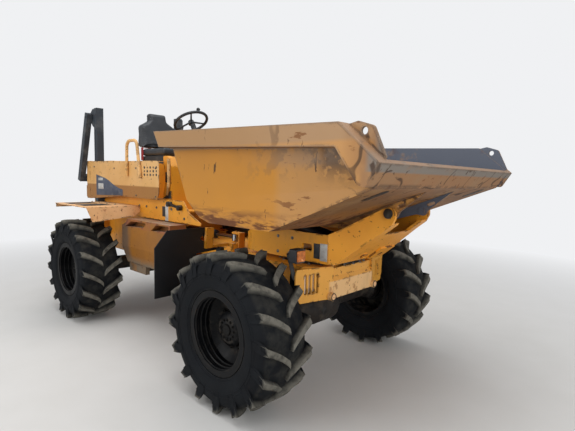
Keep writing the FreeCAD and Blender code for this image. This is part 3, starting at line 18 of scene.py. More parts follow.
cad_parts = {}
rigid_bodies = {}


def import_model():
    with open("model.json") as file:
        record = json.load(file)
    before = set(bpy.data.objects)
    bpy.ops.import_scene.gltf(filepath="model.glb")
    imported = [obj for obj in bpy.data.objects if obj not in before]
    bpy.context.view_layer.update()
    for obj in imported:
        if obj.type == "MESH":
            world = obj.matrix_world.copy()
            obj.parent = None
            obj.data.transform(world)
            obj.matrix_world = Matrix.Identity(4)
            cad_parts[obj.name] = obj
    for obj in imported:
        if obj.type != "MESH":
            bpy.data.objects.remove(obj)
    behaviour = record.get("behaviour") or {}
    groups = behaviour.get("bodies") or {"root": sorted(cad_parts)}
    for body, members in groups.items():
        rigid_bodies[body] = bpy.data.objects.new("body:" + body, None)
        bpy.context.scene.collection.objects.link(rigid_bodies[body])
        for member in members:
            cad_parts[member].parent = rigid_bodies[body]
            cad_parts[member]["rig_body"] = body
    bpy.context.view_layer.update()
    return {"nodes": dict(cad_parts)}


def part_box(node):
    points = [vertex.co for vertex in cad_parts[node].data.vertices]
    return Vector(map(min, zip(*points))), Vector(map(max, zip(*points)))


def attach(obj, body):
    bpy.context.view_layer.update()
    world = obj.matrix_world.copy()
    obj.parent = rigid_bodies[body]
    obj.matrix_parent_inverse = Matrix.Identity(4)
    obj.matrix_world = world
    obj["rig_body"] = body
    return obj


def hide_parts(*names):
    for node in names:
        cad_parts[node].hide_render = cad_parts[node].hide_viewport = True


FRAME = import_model()
LOG = logging.getLogger("site_dumper")

Tree = bpy.types.NodeTree
Node = bpy.types.Node
Socket = bpy.types.NodeSocket
Triple = tuple[float, float, float]
Pairs = tuple[tuple[float, float], ...]
Colour = tuple[float, float, float, float]
MM = 0.001
STAND_OFF = 0.0002  # How far a fitting stands off the surface that carries it.
LABEL_THICK = 0.001
LABEL_BEVEL = 0.0003


def middle(node: str) -> Vector:
    """Middle of a CAD node's box."""
    low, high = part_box(node)
    return (low + high) / 2


FRONT_AXLE = (middle("rim_front_right") + middle("rim_front_left")) / 2
X = FRONT_AXLE.x


def ahead(x: float, y: float, z: float) -> Vector:
    """Point given by its distance ahead of the front axle, to the left of the middle and above the ground."""
    return Vector((X + x, y, z))


def spokes(count: int, offset: float = 0.0) -> list[Vector]:
    """Directions spread evenly round a wheel, from straight up; the offset is a share of one step."""
    turns = [2 * math.pi * (i + offset) / count for i in range(count)]
    return [Vector((math.sin(turn), 0, math.cos(turn))) for turn in turns]


class Side(Enum):
    """A side of the machine, valued by the sign of its y."""

    RIGHT = -1
    LEFT = 1

    @property
    def tag(self) -> str:
        """Its word in the names of pieces."""
        return self.name.lower()

    @property
    def out(self) -> Vector:
        """The direction away from the machine's middle."""
        return Vector((0, self.value, 0))


def rectangle(side: Side, out: float, span: Sequence[float]) -> list[Vector]:
    """Corners of an upright rectangle on one side.

    Args:
        side: The side that it faces.
        out: Its distance from the machine's middle.
        span: Its rear and front ends, ahead of the front axle, then its bottom and top.

    Returns:
        The corners in order.
    """
    rear, front, bottom, top = span
    y = side.value * out
    return [ahead(rear, y, bottom), ahead(front, y, bottom), ahead(front, y, top), ahead(rear, y, top)]


# Finishes


def linear(code: str) -> Colour:
    """Turns an sRGB hex colour to linear.

    Args:
        code: Six hex digits.

    Returns:
        Linear red, green, blue and an alpha of 1.
    """
    parts = [int(code[i:i + 2], 16) / 255 for i in (0, 2, 4)]
    values = [c / 12.92 if c <= 0.04045 else ((c + 0.055) / 1.055) ** 2.4 for c in parts]
    return (values[0], values[1], values[2], 1.0)


def add_node(
    tree: Tree,
    kind: str,
    settings: dict[Any, Any] | None = None,
    links: dict[Any, Socket] | None = None,
) -> Node:
    """Adds one shader node with its settings and links.

    Args:
        tree: The material's node tree.
        kind: Blender's name of the node type.
        settings: Attributes of the node, or values of its sockets by name or number.
        links: Sockets that feed its inputs, by name or number.

    Returns:
        The new node.
    """
    node = tree.nodes.new(kind)
    for key, value in (settings or {}).items():
        if isinstance(key, int) or key in node.inputs:
            node.inputs[key].default_value = value
        else:
            setattr(node, key, value)
    for key, source in (links or {}).items():
        tree.links.new(source, node.inputs[key])
    return node


def noise(tree: Tree, place: Node, size_mm: float, detail: float) -> Socket:
    """Adds a noise with patches of that size and returns its value."""
    return add_node(tree, "ShaderNodeTexNoise", {"Scale": 1000.0 / size_mm, "Detail": detail},
                    {"Vector": place.outputs["Object"]}).outputs[0]


def ramp(tree: Tree, value: Socket, start: float, end: float, low: float = 0.0,
         high: float = 1.0) -> Socket:
    """Maps a value from the range start to end onto the range low to high."""
    return add_node(tree, "ShaderNodeMapRange", {"From Min": start, "From Max": end, "To Min": low, "To Max": high},
                    {"Value": value}).outputs[0]


def times(tree: Tree, first: Socket, second: Socket) -> Socket:
    """Multiplies two values."""
    return add_node(tree, "ShaderNodeMath", {"operation": "MULTIPLY"}, {0: first, 1: second}).outputs[0]


def relief(tree: Tree, height: Socket, depth_mm: float, under: Socket | None = None) -> Socket:
    """Adds a bump of that depth, over another one where there is one, and returns its normal."""
    links = {"Height": height} if under is None else {"Height": height, "Normal": under}
    return add_node(tree, "ShaderNodeBump", {"Strength": 1.0, "Distance": depth_mm * MM}, links).outputs[0]


class Along(Enum):
    """What a gate measures on the surface."""

    X = "x"
    Z = "z"
    INWARD = "how much the surface faces the gate's centre"
    UPWARD = "how much the surface faces up"
    EDGE = "how close a sharp edge is"
    LUG_TOP = "the tyre's own attribute on its lugs' tops"
    TREAD = "the tyre's own attribute between its shoulders"


@dataclass(frozen=True)
class Gate:
    """Where on a piece a stain may show: from start, where it is off, to end, where it is full."""

    along: Along
    start: float
    end: float
    centre: Triple = (0.0, 0.0, 0.0)
    reach: float = 0.004

    def measure(self, tree: Tree, place: Node) -> Socket:
        """Adds the nodes that measure the surface.

        Args:
            tree: The material's node tree.
            place: Its Texture Coordinate node.

        Returns:
            The measured value.
        """
        if self.along in (Along.LUG_TOP, Along.TREAD):
            name = self.along.name.lower()
            return add_node(tree, "ShaderNodeAttribute", {"attribute_name": name}).outputs["Fac"]
        if self.along is Along.UPWARD:
            parts = add_node(tree, "ShaderNodeSeparateXYZ", links={0: place.outputs["Normal"]})
            return parts.outputs["Z"]
        if self.along is Along.EDGE:
            rounded = add_node(tree, "ShaderNodeBevel", {"samples": 4, "Radius": self.reach})
            flat = add_node(tree, "ShaderNodeNewGeometry")
            dot = add_node(tree, "ShaderNodeVectorMath", {"operation": "DOT_PRODUCT"},
                           {0: rounded.outputs["Normal"], 1: flat.outputs["True Normal"]})
            return dot.outputs["Value"]
        if self.along is Along.INWARD:
            away = add_node(tree, "ShaderNodeVectorMath", {"operation": "SUBTRACT", 0: self.centre},
                            {1: place.outputs["Object"]})
            dot = add_node(tree, "ShaderNodeVectorMath", {"operation": "DOT_PRODUCT"},
                           {0: place.outputs["Normal"], 1: away.outputs[0]})
            return dot.outputs["Value"]
        parts = add_node(tree, "ShaderNodeSeparateXYZ", links={0: place.outputs["Object"]})
        return parts.outputs[self.along.name]

    def mask(self, tree: Tree, place: Node) -> Socket:
        """Adds the gate's 0 to 1 mask and returns its socket."""
        falling = self.start > self.end
        return ramp(tree, self.measure(tree, place), min(self.start, self.end), max(self.start, self.end),
                    float(falling), float(not falling))


@dataclass(frozen=True)
class Stain:
    """Blotches of another colour, such as rust, dust or fresh paint; with a vein's width, broken scratch lines."""

    colour: str
    size_mm: float
    low: float
    high: float
    amount: float = 1.0
    stretch: Triple = (1.0, 1.0, 1.0)
    gates: tuple[Gate, ...] = ()
    roughness: float | None = None
    depth: float = 0.0
    vein: float = 0.0

    def mask(self, tree: Tree, place: Node) -> Socket:
        """Adds the blotches' mask, closed by the gates, and returns its socket."""
        spread = 1000.0 / self.size_mm
        turned = add_node(tree, "ShaderNodeMapping",
                          {"Location": (self.low * 7.3, self.high * 3.1, self.size_mm * 0.17),
                           "Scale": tuple(spread * s for s in self.stretch)},
                          {"Vector": place.outputs["Object"]})
        blotches = add_node(tree, "ShaderNodeTexNoise", {"Scale": 1.0, "Detail": 5.0, "Roughness": 0.6},
                            {"Vector": turned.outputs[0]})
        value = ramp(tree, blotches.outputs[0], self.low, self.high, 0.0, self.amount)
        if self.vein:
            broad = add_node(tree, "ShaderNodeTexNoise", {"Scale": 0.45, "Detail": 2.0}, {"Vector": turned.outputs[0]})
            off = add_node(tree, "ShaderNodeMath", {"operation": "SUBTRACT", 1: 0.5}, {0: broad.outputs[0]})
            size = add_node(tree, "ShaderNodeMath", {"operation": "ABSOLUTE"}, {0: off.outputs[0]})
            value = times(tree, value, ramp(tree, size.outputs[0], self.vein * 0.5, self.vein, 1.0, 0.0))
        for gate in self.gates:
            value = times(tree, value, gate.mask(tree, place))
        return value

    def lay(self, tree: Tree, place: Node, colour: Socket, rough: Socket,
            normal: Socket) -> tuple[Socket, Socket, Socket]:
        """Lays the stain over a surface.

        Args:
            tree: The material's node tree.
            place: Its Texture Coordinate node.
            colour: The surface's colour so far.
            rough: Its roughness so far.
            normal: Its normal so far.

        Returns:
            The same three with the stain.
        """
        mask = self.mask(tree, place)
        colour = add_node(tree, "ShaderNodeMix", {"data_type": "RGBA", 7: linear(self.colour)},
                          {0: mask, 6: colour}).outputs[2]
        if self.roughness is not None:
            rough = add_node(tree, "ShaderNodeMix", {"data_type": "FLOAT", 3: self.roughness},
                             {0: mask, 2: rough}).outputs[0]
        if self.depth:
            normal = relief(tree, mask, self.depth, normal)
        return colour, rough, normal


@dataclass(frozen=True)
class Finish:
    """A surface: what it is made of, how it was made and how it has worn."""

    name: str
    colour: str
    second: str
    roughness: float
    slot: str
    metallic: float = 0.0
    ior: float = 1.5
    patch_mm: float = 300.0
    grain_mm: float = 2.0
    grain_depth_mm: float = 0.05
    wave_mm: float = 0.0
    wave_depth_mm: float = 0.0
    stains: tuple[Stain, ...] = ()
    emission: float = 0.0
    specular: float = 0.5
    uneven: float = 0.07

    def material(self) -> bpy.types.Material:
        """Builds the finish's material once.

        Returns:
            The material, the same one at every call.
        """
        made = bpy.data.materials.get(self.name)
        if made:
            return made
        made = bpy.data.materials.new(self.name)
        made.use_nodes = True
        tree = made.node_tree
        tree.nodes.clear()
        place = add_node(tree, "ShaderNodeTexCoord")
        patch = noise(tree, place, self.patch_mm, 4.0)
        colour = add_node(tree, "ShaderNodeMix",
                          {"data_type": "RGBA", 6: linear(self.colour), 7: linear(self.second)},
                          {0: ramp(tree, patch, 0.35, 0.65)}).outputs[2]
        rough = ramp(tree, patch, 0.3, 0.7, max(self.roughness - self.uneven, 0.02),
                     min(self.roughness + self.uneven, 1.0))
        normal = relief(tree, noise(tree, place, self.grain_mm, 3.0), self.grain_depth_mm)
        if self.wave_mm:
            normal = relief(tree, noise(tree, place, self.wave_mm, 1.0), self.wave_depth_mm, normal)
        for stain in self.stains:
            colour, rough, normal = stain.lay(tree, place, colour, rough, normal)
        shader = add_node(tree, "ShaderNodeBsdfPrincipled",
                          {"Metallic": self.metallic, "IOR": self.ior, "Emission Strength": self.emission,
                           "Specular IOR Level": self.specular},
                          {"Base Color": colour, "Roughness": rough, "Normal": normal})
        if self.emission:
            tree.links.new(colour, shader.inputs["Emission Color"])
        add_node(tree, "ShaderNodeOutputMaterial", links={"Surface": shader.outputs[0]})
        return made


RUST = "5A3218"
EARTH = "6B5A48"
BELOW = Gate(Along.UPWARD, -0.25, -0.7)
INSIDE_SKIP = Gate(Along.INWARD, 0.02, 0.05, (X + 0.1, 0.0, 1.78))
BEAM_LOWER_FACE = (Gate(Along.Z, 0.828, 0.820), Gate(Along.X, X + 0.355, X + 0.362))

# Enamel over steel: even, slightly glossy, faded where the sun falls and chipped to rust at edges.
RAGGED_EDGE = Gate(Along.EDGE, 0.992, 0.965, reach=0.020)
ENAMEL_WEAR = (
    Stain("C9A06A", 900, 0.42, 0.68, 0.5, gates=(Gate(Along.UPWARD, 0.2, 0.9),)),
    Stain(EARTH, 190, 0.54, 0.8, 0.35, stretch=(1.0, 1.0, 0.35), roughness=0.8),
    Stain("4A2C18", 30, 0.655, 0.675, 0.85, roughness=0.85, depth=-0.15),
    Stain("3A2416", 75, 0.52, 0.56, 0.9, gates=(RAGGED_EDGE,), roughness=0.85, depth=-0.2),
)
ENAMEL = Finish(
    "yellow_enamel_on_steel", "EBA02A", "DD9226", 0.42, "paint", patch_mm=420, grain_mm=3, grain_depth_mm=0.04,
    wave_mm=260, wave_depth_mm=1.2, stains=ENAMEL_WEAR)
# The same enamel where sun and rain have paled it, still yellow low down under the covers' crease.
FADED_ENAMEL = Finish(
    "yellow_enamel_paled_by_sun", "DDAE70", "D3A05C", 0.5, "paint", patch_mm=380, grain_mm=3, grain_depth_mm=0.04,
    wave_mm=260, wave_depth_mm=1.2,
    stains=(Stain("9C6A2E", 500, 0.1, 0.3, 1.0, gates=(Gate(Along.Z, 1.462, 1.450),)),) + ENAMEL_WEAR)
# Mudguards stand in the sun and are chalked by it.
PALE_ENAMEL = Finish(
    "yellow_enamel_chalked_by_weather", "E4B685", "DCA872", 0.55, "paint", patch_mm=300, grain_mm=3, wave_mm=200,
    wave_depth_mm=1.5, stains=(Stain("A8643F", 60, 0.6, 0.66, 0.7, roughness=0.85),) + ENAMEL_WEAR)
# The beam's lower face is rubbed pale.
BEAM_ENAMEL = Finish(
    "yellow_enamel_rubbed_pale_low_down", "E0A040", "D69838", 0.45, "paint", patch_mm=340, grain_mm=3, wave_mm=240,
    wave_depth_mm=1.4, stains=(
        Stain("DDB47E", 420, 0.1, 0.3, 0.9, gates=BEAM_LOWER_FACE),
        Stain("9A6A3C", 110, 0.56, 0.6, 0.7, gates=BEAM_LOWER_FACE, roughness=0.8),
    ) + ENAMEL_WEAR)
# Step boxes: base colours darkened as painted shade; grey with dirt on top and low down.
STEP_ENAMEL = Finish(
    "yellow_enamel_scuffed_by_boots", "9D651A", "8F5C20", 0.5, "paint", patch_mm=260, grain_mm=3, wave_mm=220,
    wave_depth_mm=1.5, stains=(
        Stain("5A4838", 260, 0.3, 0.5, 0.9, gates=(Gate(Along.X, X - 1.93, X - 2.02),), roughness=0.85),
        Stain("8A8378", 200, 0.2, 0.4, 0.85, gates=(Gate(Along.UPWARD, 0.5, 0.9),), roughness=0.7),
        Stain("98543A", 120, 0.4, 0.6, 0.6, gates=(Gate(Along.Z, 1.02, 1.035),)),
        Stain("6B6558", 160, 0.3, 0.5, 0.8, gates=(Gate(Along.Z, 0.74, 0.66),), roughness=0.8),
    ) + ENAMEL_WEAR)
# The skip: enamel worn by loads, with a paled rim band, rust low on the sides, scratches and a dark inside; its
# downward faces are darkened as painted shade.
SKIP_ENAMEL = Finish(
    "yellow_enamel_worn_by_loads", "C4831C", "BC7E20", 0.42, "paint", patch_mm=700, grain_mm=4, grain_depth_mm=0.06,
    wave_mm=330, wave_depth_mm=4.0, stains=(
        Stain("BC8745", 650, 0.3, 0.44, 0.85, gates=(Gate(Along.X, X + 0.40, X + 0.47),)),
        Stain("A97A44", 900, 0.45, 0.6, 0.5, gates=(Gate(Along.X, X + 0.3, X + 0.6),)),
        Stain("A37C50", 700, 0.1, 0.3, 0.95, gates=(Gate(Along.Z, 1.750, 1.770),)),
        # Painted shade: every face that looks downward turns a darker orange-brown.
        Stain("8C5A1E", 500, 0.0, 0.2, 1.0, gates=(Gate(Along.UPWARD, -0.25, -0.6),), roughness=0.6),
        Stain("6B4A2C", 300, 0.42, 0.6, 0.8, stretch=(1.0, 0.6, 1.0), gates=(BELOW,)),
        Stain("9A7A52", 340, 0.5, 0.7, 0.7, gates=(BELOW,), roughness=0.6),
        Stain("94704C", 200, 0.1, 0.4, 0.95, gates=(Gate(Along.X, X + 1.06, X + 1.09), Gate(Along.UPWARD, 0.3, -0.1)),
              roughness=0.6),
        Stain("94683F", 200, 0.36, 0.58, 0.9, gates=(Gate(Along.X, X + 0.95, X + 1.1),), roughness=0.6),
        Stain("7B736A", 160, 0.2, 0.42, 0.95, gates=(Gate(Along.X, X + 1.09, X + 1.12), Gate(Along.Z, 1.603, 1.612)),
              roughness=0.6),
        Stain("8A5A30", 130, 0.42, 0.54, 0.85, stretch=(0.4, 1.0, 1.8), gates=(Gate(Along.Z, 1.37, 1.31),),
              roughness=0.8, depth=-0.3),
        Stain("5F3417", 75, 0.5, 0.56, 0.9, stretch=(0.3, 1.0, 1.8), gates=(Gate(Along.Z, 1.37, 1.30),), roughness=0.85,
              depth=-0.3),
        Stain("7A4A22", 70, 0.62, 0.65, 0.8, stretch=(0.4, 1.0, 1.4), roughness=0.8, depth=-0.3,
              gates=(Gate(Along.X, X + 0.3, X + 0.5),)),
        Stain("3E2718", 60, 0.66, 0.675, 0.85, stretch=(1.4, 1.0, 0.35), roughness=0.8, depth=-0.3),
        Stain("3E2718", 260, 0.50, 0.53, 0.85, roughness=0.8, depth=-0.3, vein=0.010,
              gates=(Gate(Along.X, X + 0.2, X + 0.9),)),
        Stain("44301F", 180, 0.44, 0.47, 0.8, roughness=0.8, depth=-0.3, vein=0.012,
              gates=(Gate(Along.X, X + 0.9, X + 1.05),)),
        Stain("4A3220", 90, 0.44, 0.48, 0.9, roughness=0.7, depth=-0.3,
              gates=(Gate(Along.EDGE, 0.992, 0.960, reach=0.024), Gate(Along.X, X + 0.72, X + 0.8))),
        # Grey-brown at edges; the edge gate also takes in the inside corner under the rim band, which this darkens as
        # painted shade.
        Stain("57473A", 90, 0.52, 0.58, 0.65, gates=(RAGGED_EDGE,), roughness=0.7),
        Stain("8A7460", 120, 0.28, 0.44, 0.9, roughness=0.6,
              gates=(Gate(Along.EDGE, 0.992, 0.960, reach=0.016), Gate(Along.Z, 1.60, 1.66))),
        Stain("93745A", 150, 0.28, 0.46, 0.95, gates=(Gate(Along.UPWARD, 0.55, 0.8), Gate(Along.Z, 1.55, 1.62)),
              roughness=0.55),
        Stain("555A66", 160, 0.2, 0.42, 1.0, gates=(INSIDE_SKIP,), roughness=0.5, depth=0.4),
        Stain(RUST, 110, 0.58, 0.72, 0.5, gates=(INSIDE_SKIP,), roughness=0.9),
    ))
# Black and grey enamels on sheet steel, with road dirt and worn edges.
BLACK_ENAMEL = Finish(
    "black_enamel_on_steel", "06080D", "0B0E14", 0.5, "black_paint", patch_mm=250, grain_mm=3, stains=(
        Stain("34322F", 260, 0.55, 0.8, 0.3, roughness=0.85),
        Stain("5E5A54", 30, 0.55, 0.66, 0.6, gates=(Gate(Along.EDGE, 0.985, 0.9),)),
    ))
HOOP_ENAMEL = Finish(
    "dark_grey_enamel_on_steel", "262C33", "2F363D", 0.55, "grey_paint", patch_mm=260, grain_mm=3, stains=(
        Stain("7A7873", 200, 0.52, 0.75, 0.5, roughness=0.85),
        Stain(RUST, 26, 0.66, 0.7, 0.8, roughness=0.9),
    ))
RIM_ENAMEL = Finish(
    "black_rim_enamel", "050608", "0A0B0E", 0.42, "rim_paint", patch_mm=140, grain_mm=2, specular=0.15, stains=(
        Stain("24211E", 150, 0.55, 0.78, 0.4, roughness=0.9),
        Stain("4A443D", 60, 0.46, 0.56, 0.5, gates=(Gate(Along.EDGE, 0.999, 0.97, reach=0.006),), roughness=0.8),
        Stain(RUST, 22, 0.68, 0.72, 0.6, roughness=0.9),
    ))
# Cast iron casings: rough from the sand mould, with oil that holds dust.
CASTING = Finish(
    "oily_cast_iron", "2B241E", "1C1815", 0.7, "greased_steel", metallic=0.2, patch_mm=90, grain_mm=5,
    grain_depth_mm=0.6, stains=(
        Stain("5C5245", 120, 0.52, 0.74, 0.7, roughness=0.95),
        Stain("0F0E0D", 70, 0.56, 0.66, 0.8, roughness=0.3),
    ))
# The same casting under black paint, as on the hubs.
HUB_CASTING = Finish(
    "black_painted_hub_casting", "14110E", "0D0C0B", 0.6, "greased_steel", patch_mm=80, grain_mm=5, grain_depth_mm=0.5,
    specular=0.2, stains=(Stain("3A332B", 90, 0.56, 0.74, 0.5, roughness=0.95),))
# Bright steels: greased rings and pins, chromed rods and zinc plated bolts.
GREASED = Finish(
    "greased_turned_steel", "4A4742", "2C2A28", 0.4, "greased_steel", metallic=0.7, patch_mm=60, grain_mm=2,
    stains=(Stain("191716", 45, 0.5, 0.62, 0.85, roughness=0.35),))
CHROME = Finish(
    "hard_chromed_rod", "C9CCD0", "B7BABF", 0.14, "chrome_rod", metallic=1.0, patch_mm=200, grain_mm=1,
    grain_depth_mm=0.01, stains=(Stain("6A6259", 60, 0.62, 0.75, 0.5, roughness=0.6),))
ZINC = Finish(
    "zinc_plated_fastener", "8C8B87", "6F6C66", 0.42, "greased_steel", metallic=0.9, patch_mm=20, grain_mm=1,
    stains=(Stain(RUST, 12, 0.55, 0.7, 0.8, roughness=0.9),))
# Vulcanised rubber: matt, darker in the grooves, with dry earth on the lugs' tops.
RUBBER = Finish(
    "vulcanised_rubber", "0B0D11", "111418", 0.8, "tyre_rubber", patch_mm=130, grain_mm=4, grain_depth_mm=0.25,
    specular=0.18, stains=(
        Stain("1D2024", 260, 0.45, 0.75, 0.5),
        Stain("3A3935", 90, 0.42, 0.66, 0.6, gates=(Gate(Along.TREAD, 0.2, 0.8),), roughness=0.95),
        Stain("76736A", 55, 0.2, 0.55, 0.85, gates=(Gate(Along.LUG_TOP, 0.2, 0.9),), roughness=0.95),
    ))
# Coated seat cloth: fine embossed grain with a soft sheen, greyed by dust in its low places.
VINYL = Finish(
    "embossed_seat_vinyl", "25282D", "2F3338", 0.55, "seat_vinyl", patch_mm=140, grain_mm=3, grain_depth_mm=0.35,
    stains=(Stain("5B5A58", 110, 0.5, 0.75, 0.5, roughness=0.85),))
# Mouldings and webbing.
PLASTIC = Finish(
    "moulded_black_plastic", "1D1F22", "26282B", 0.5, "black_plastic", patch_mm=90, grain_mm=1.5, grain_depth_mm=0.08,
    stains=(Stain("66615A", 90, 0.54, 0.75, 0.45, roughness=0.85),))
WEBBING = Finish(
    "woven_red_webbing", "8E1F22", "7A1A1E", 0.8, "seat_vinyl", patch_mm=40, grain_mm=3, grain_depth_mm=0.4)
# Lamps and blank plates.
# The amber lens's emission is painted glow, standing in for how bright the lens and its highlight look.
AMBER = Finish(
    "amber_polycarbonate", "B5651F", "8F4A14", 0.18, "amber_lens", ior=1.58, patch_mm=20, grain_mm=6,
    grain_depth_mm=0.6, emission=0.22, stains=(Stain("F0B070", 30, 0.56, 0.68, 0.7),))
# The lamp glass's near-white colour is a painted reflection of the sky.
LENS = Finish(
    "clear_lamp_glass", "F0F2F2", "DDE0E1", 0.12, "lamp_lens", metallic=0.1, patch_mm=30, grain_mm=9,
    grain_depth_mm=0.8)
PALE_PLATE = Finish(
    "bare_aluminium_plate", "C9C9C6", "B2B1AD", 0.45, "greased_steel", metallic=0.1, patch_mm=60, grain_mm=1,
    stains=(Stain(EARTH, 40, 0.5, 0.7, 0.6),))
SLATE_INSERT = Finish(
    "slate_plastic_insert", "454D60", "3C4456", 0.45, "black_plastic", patch_mm=120, grain_mm=1.5,
    stains=(Stain("8A8B8C", 80, 0.5, 0.75, 0.5, roughness=0.8),))


# Pieces


def to_mesh(form: bmesh.types.BMesh, name: str) -> bpy.types.Mesh:
    """Turns a form to a mesh of that name and frees the form."""
    mesh = bpy.data.meshes.new(name)
    form.to_mesh(mesh)
    form.free()
    return mesh


def add_object(name: str, data: bpy.types.ID) -> bpy.types.Object:
    """Puts a mesh, camera or lamp in the scene as an object of that name."""
    made = bpy.data.objects.new(name, data)
    bpy.context.scene.collection.objects.link(made)
    return made


class Piece:
    """One mesh in the model's frame, built with bmesh operators."""

    def __init__(self, name: str) -> None:
        """Starts an empty piece of that name."""
        self.name = name
        self.form = bmesh.new()

    def block(self, low: Sequence[float], high: Sequence[float], bevel: float) -> None:
        """Adds a block between two corners.

        Args:
            low: Its lowest corner.
            high: Its highest corner.
            bevel: Width of its rounded edges.
        """
        size = Vector(high) - Vector(low)
        place = Matrix.Translation((Vector(low) + Vector(high)) / 2) @ Matrix.Diagonal((*size, 1.0))
        made = bmesh.ops.create_cube(self.form, size=1.0, matrix=place)["verts"]
        self.soften({e for v in made for e in v.link_edges}, bevel)

    def soften(self, edges: Iterable[bmesh.types.BMEdge], width: float) -> None:
        """Rounds the edges by that width."""
        bmesh.ops.bevel(self.form, geom=list(edges), offset=width, segments=2, profile=0.5,
                        affect="EDGES", material=-1, clamp_overlap=True)

    def round_bar(self, start: Vector, end: Vector, radius: float, sides: int = 24, far: float | None = None,
                  bevel: float = 0.0) -> None:
        """Adds a round or many-sided bar between two points.

        Args:
            start: Middle of its first end.
            end: Middle of its other end.
            radius: Radius at the first end.
            sides: How many sides it has.
            far: Radius at the other end, where it isn't the same.
            bevel: Width of its ends' rounded edges.
        """
        run = end - start
        place = Matrix.Translation((start + end) / 2) @ run.to_track_quat("Z", "Y").to_matrix().to_4x4()
        made = bmesh.ops.create_cone(self.form, cap_ends=True, segments=sides, radius1=radius,
                                     radius2=radius if far is None else far, depth=run.length,
                                     matrix=place)["verts"]
        if bevel:
            caps = {f for v in made for f in v.link_faces if len(f.verts) > 4}
            self.soften({e for f in caps for e in f.edges}, bevel)

    def hex_bolt(self, foot: Vector, out: Vector, across: float) -> None:
        """Adds a hexagon bolt head with its washer, standing on a surface.

        Args:
            foot: Point on the surface.
            out: Direction away from the surface, one unit long.
            across: Size across its corners.
        """
        self.round_bar(foot, foot + out * 0.002, across * 0.72, 20)
        self.round_bar(foot, foot + out * across * 0.42, across / 2, 6, bevel=0.0012)
        self.round_bar(foot, foot + out * across * 0.6, across * 0.22, 12)

    def ring(self, centre: Vector, axis: Vector, radius: float, thick: float, around: int, across: int) -> None:
        """Adds a torus.

        Args:
            centre: Its middle.
            axis: Its axis.
            radius: Radius of its centreline.
            thick: Radius of its section.
            around: Steps round the axis.
            across: Sides of its section.
        """
        axis = axis.normalized()
        out = axis.orthogonal().normalized()
        turn = Matrix((out, axis, out.cross(axis))).transposed().to_4x4()
        place = Matrix.Translation(centre + out * radius) @ turn
        start = bmesh.ops.create_circle(self.form, segments=across, radius=thick, matrix=place)["verts"]
        edges = {e for v in start for e in v.link_edges}
        bmesh.ops.spin(self.form, geom=list(start) + list(edges), cent=centre, axis=axis,
                       angle=2 * math.pi, steps=around, use_merge=True)

    def lathe(self, profile: Sequence[tuple[float, float]], centre: Vector, axis: Vector, steps: int) -> None:
        """Adds a turned form from an open profile.

        Args:
            profile: Points as (along the axis, radius).
            centre: Where along is 0.
            axis: The axis.
            steps: Steps round it.
        """
        axis = axis.normalized()
        out = axis.orthogonal().normalized()
        points = [self.form.verts.new(centre + axis * a + out * r) for a, r in profile]
        edges = [self.form.edges.new(pair) for pair in zip(points, points[1:])]
        bmesh.ops.spin(self.form, geom=points + edges, cent=centre, axis=axis, angle=2 * math.pi,
                       steps=steps, use_merge=True)

    def plate(self, outline: Sequence[Vector], thick: Vector, bevel: float = 0.0) -> None:
        """Adds a flat plate.

        Args:
            outline: Its corners in order.
            thick: How far it is extruded.
            bevel: Width of its rounded edges.
        """
        face = self.form.faces.new([self.form.verts.new(p) for p in outline])
        made = bmesh.ops.extrude_face_region(self.form, geom=[face])["geom"]
        moved = [v for v in made if isinstance(v, bmesh.types.BMVert)]
        bmesh.ops.translate(self.form, verts=moved, vec=thick)
        if bevel:
            self.soften({e for v in moved for e in v.link_edges}, bevel)

    def finish(self, body: str, finish: Finish, angle: float = 35.0, replaces: Sequence[str] = ()) -> bpy.types.Object:
        """Turns the piece to an object that rides on a body.

        Args:
            body: The CAD body that it moves with.
            finish: Its surface.
            angle: Edges sharper than this stay sharp, in degrees.
            replaces: CAD nodes that it stands for.

        Returns:
            The object.
        """
        bmesh.ops.remove_doubles(self.form, verts=self.form.verts, dist=1e-6)
        bmesh.ops.recalc_face_normals(self.form, faces=self.form.faces)
        return settle(to_mesh(self.form, self.name), self.name, body, finish, angle, replaces)


def settle(mesh: bpy.types.Mesh, name: str, body: str, finish: Finish, angle: float = 35.0,
           replaces: Sequence[str] = ()) -> bpy.types.Object:
    """Puts a finished mesh in the scene, on a body.

    Args:
        mesh: The mesh, in the model's frame.
        name: The piece's name.
        body: The CAD body that it moves with.
        finish: Its surface.
        angle: Edges sharper than this stay sharp, in degrees.
        replaces: CAD nodes that it stands for.

    Returns:
        The object.
    """
    mesh.materials.clear()
    mesh.materials.append(finish.material())
    mesh.shade_smooth()
    mesh.set_sharp_from_angle(angle=math.radians(angle))
    made = add_object(name, mesh)
    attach(made, body)
    if replaces:
        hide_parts(*replaces)
    LOG.info("%s on %s: %d faces", name, body, len(mesh.polygons))
    return made


def merged(node: str) -> bmesh.types.BMesh:
    """A CAD node's form, with its doubled corners and flat seams merged."""
    form = bmesh.new()
    form.from_mesh(FRAME["nodes"][node].data)
    bmesh.ops.remove_doubles(form, verts=form.verts, dist=1e-5)
    bmesh.ops.dissolve_limit(form, angle_limit=math.radians(1.0), verts=form.verts, edges=form.edges)
    return form


def body_of(node: str) -> str:
    """The CAD body that carries a node."""
    return FRAME["nodes"][node]["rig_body"]


def dress(node: str, finish: Finish, bevel: float = 0.0, angle: float = 18.0) -> bpy.types.Object:
    """Gives a CAD node its finish, or a merged copy of it with rounded edges.

    Args:
        node: The CAD node.
        finish: Its surface.
        bevel: Width of the copy's rounded edges; 0 keeps the node itself.
        angle: Edges sharper than this are rounded, in degrees.

    Returns:
        The node's object or its copy.
    """
    source = FRAME["nodes"][node]
    if not bevel:
        for place in source.material_slots:
            place.material = finish.material()
        if not source.material_slots:
            source.data.materials.append(finish.material())
        return source
    name = node + "_rounded"
    made = settle(to_mesh(merged(node), name), name, body_of(node), finish, angle, (node,))
    rounding = made.modifiers.new("rounding", "BEVEL")
    rounding.width = bevel
    rounding.segments = 2
    rounding.limit_method = "ANGLE"
    rounding.angle_limit = math.radians(angle)
    rounding.harden_normals = True
    return made


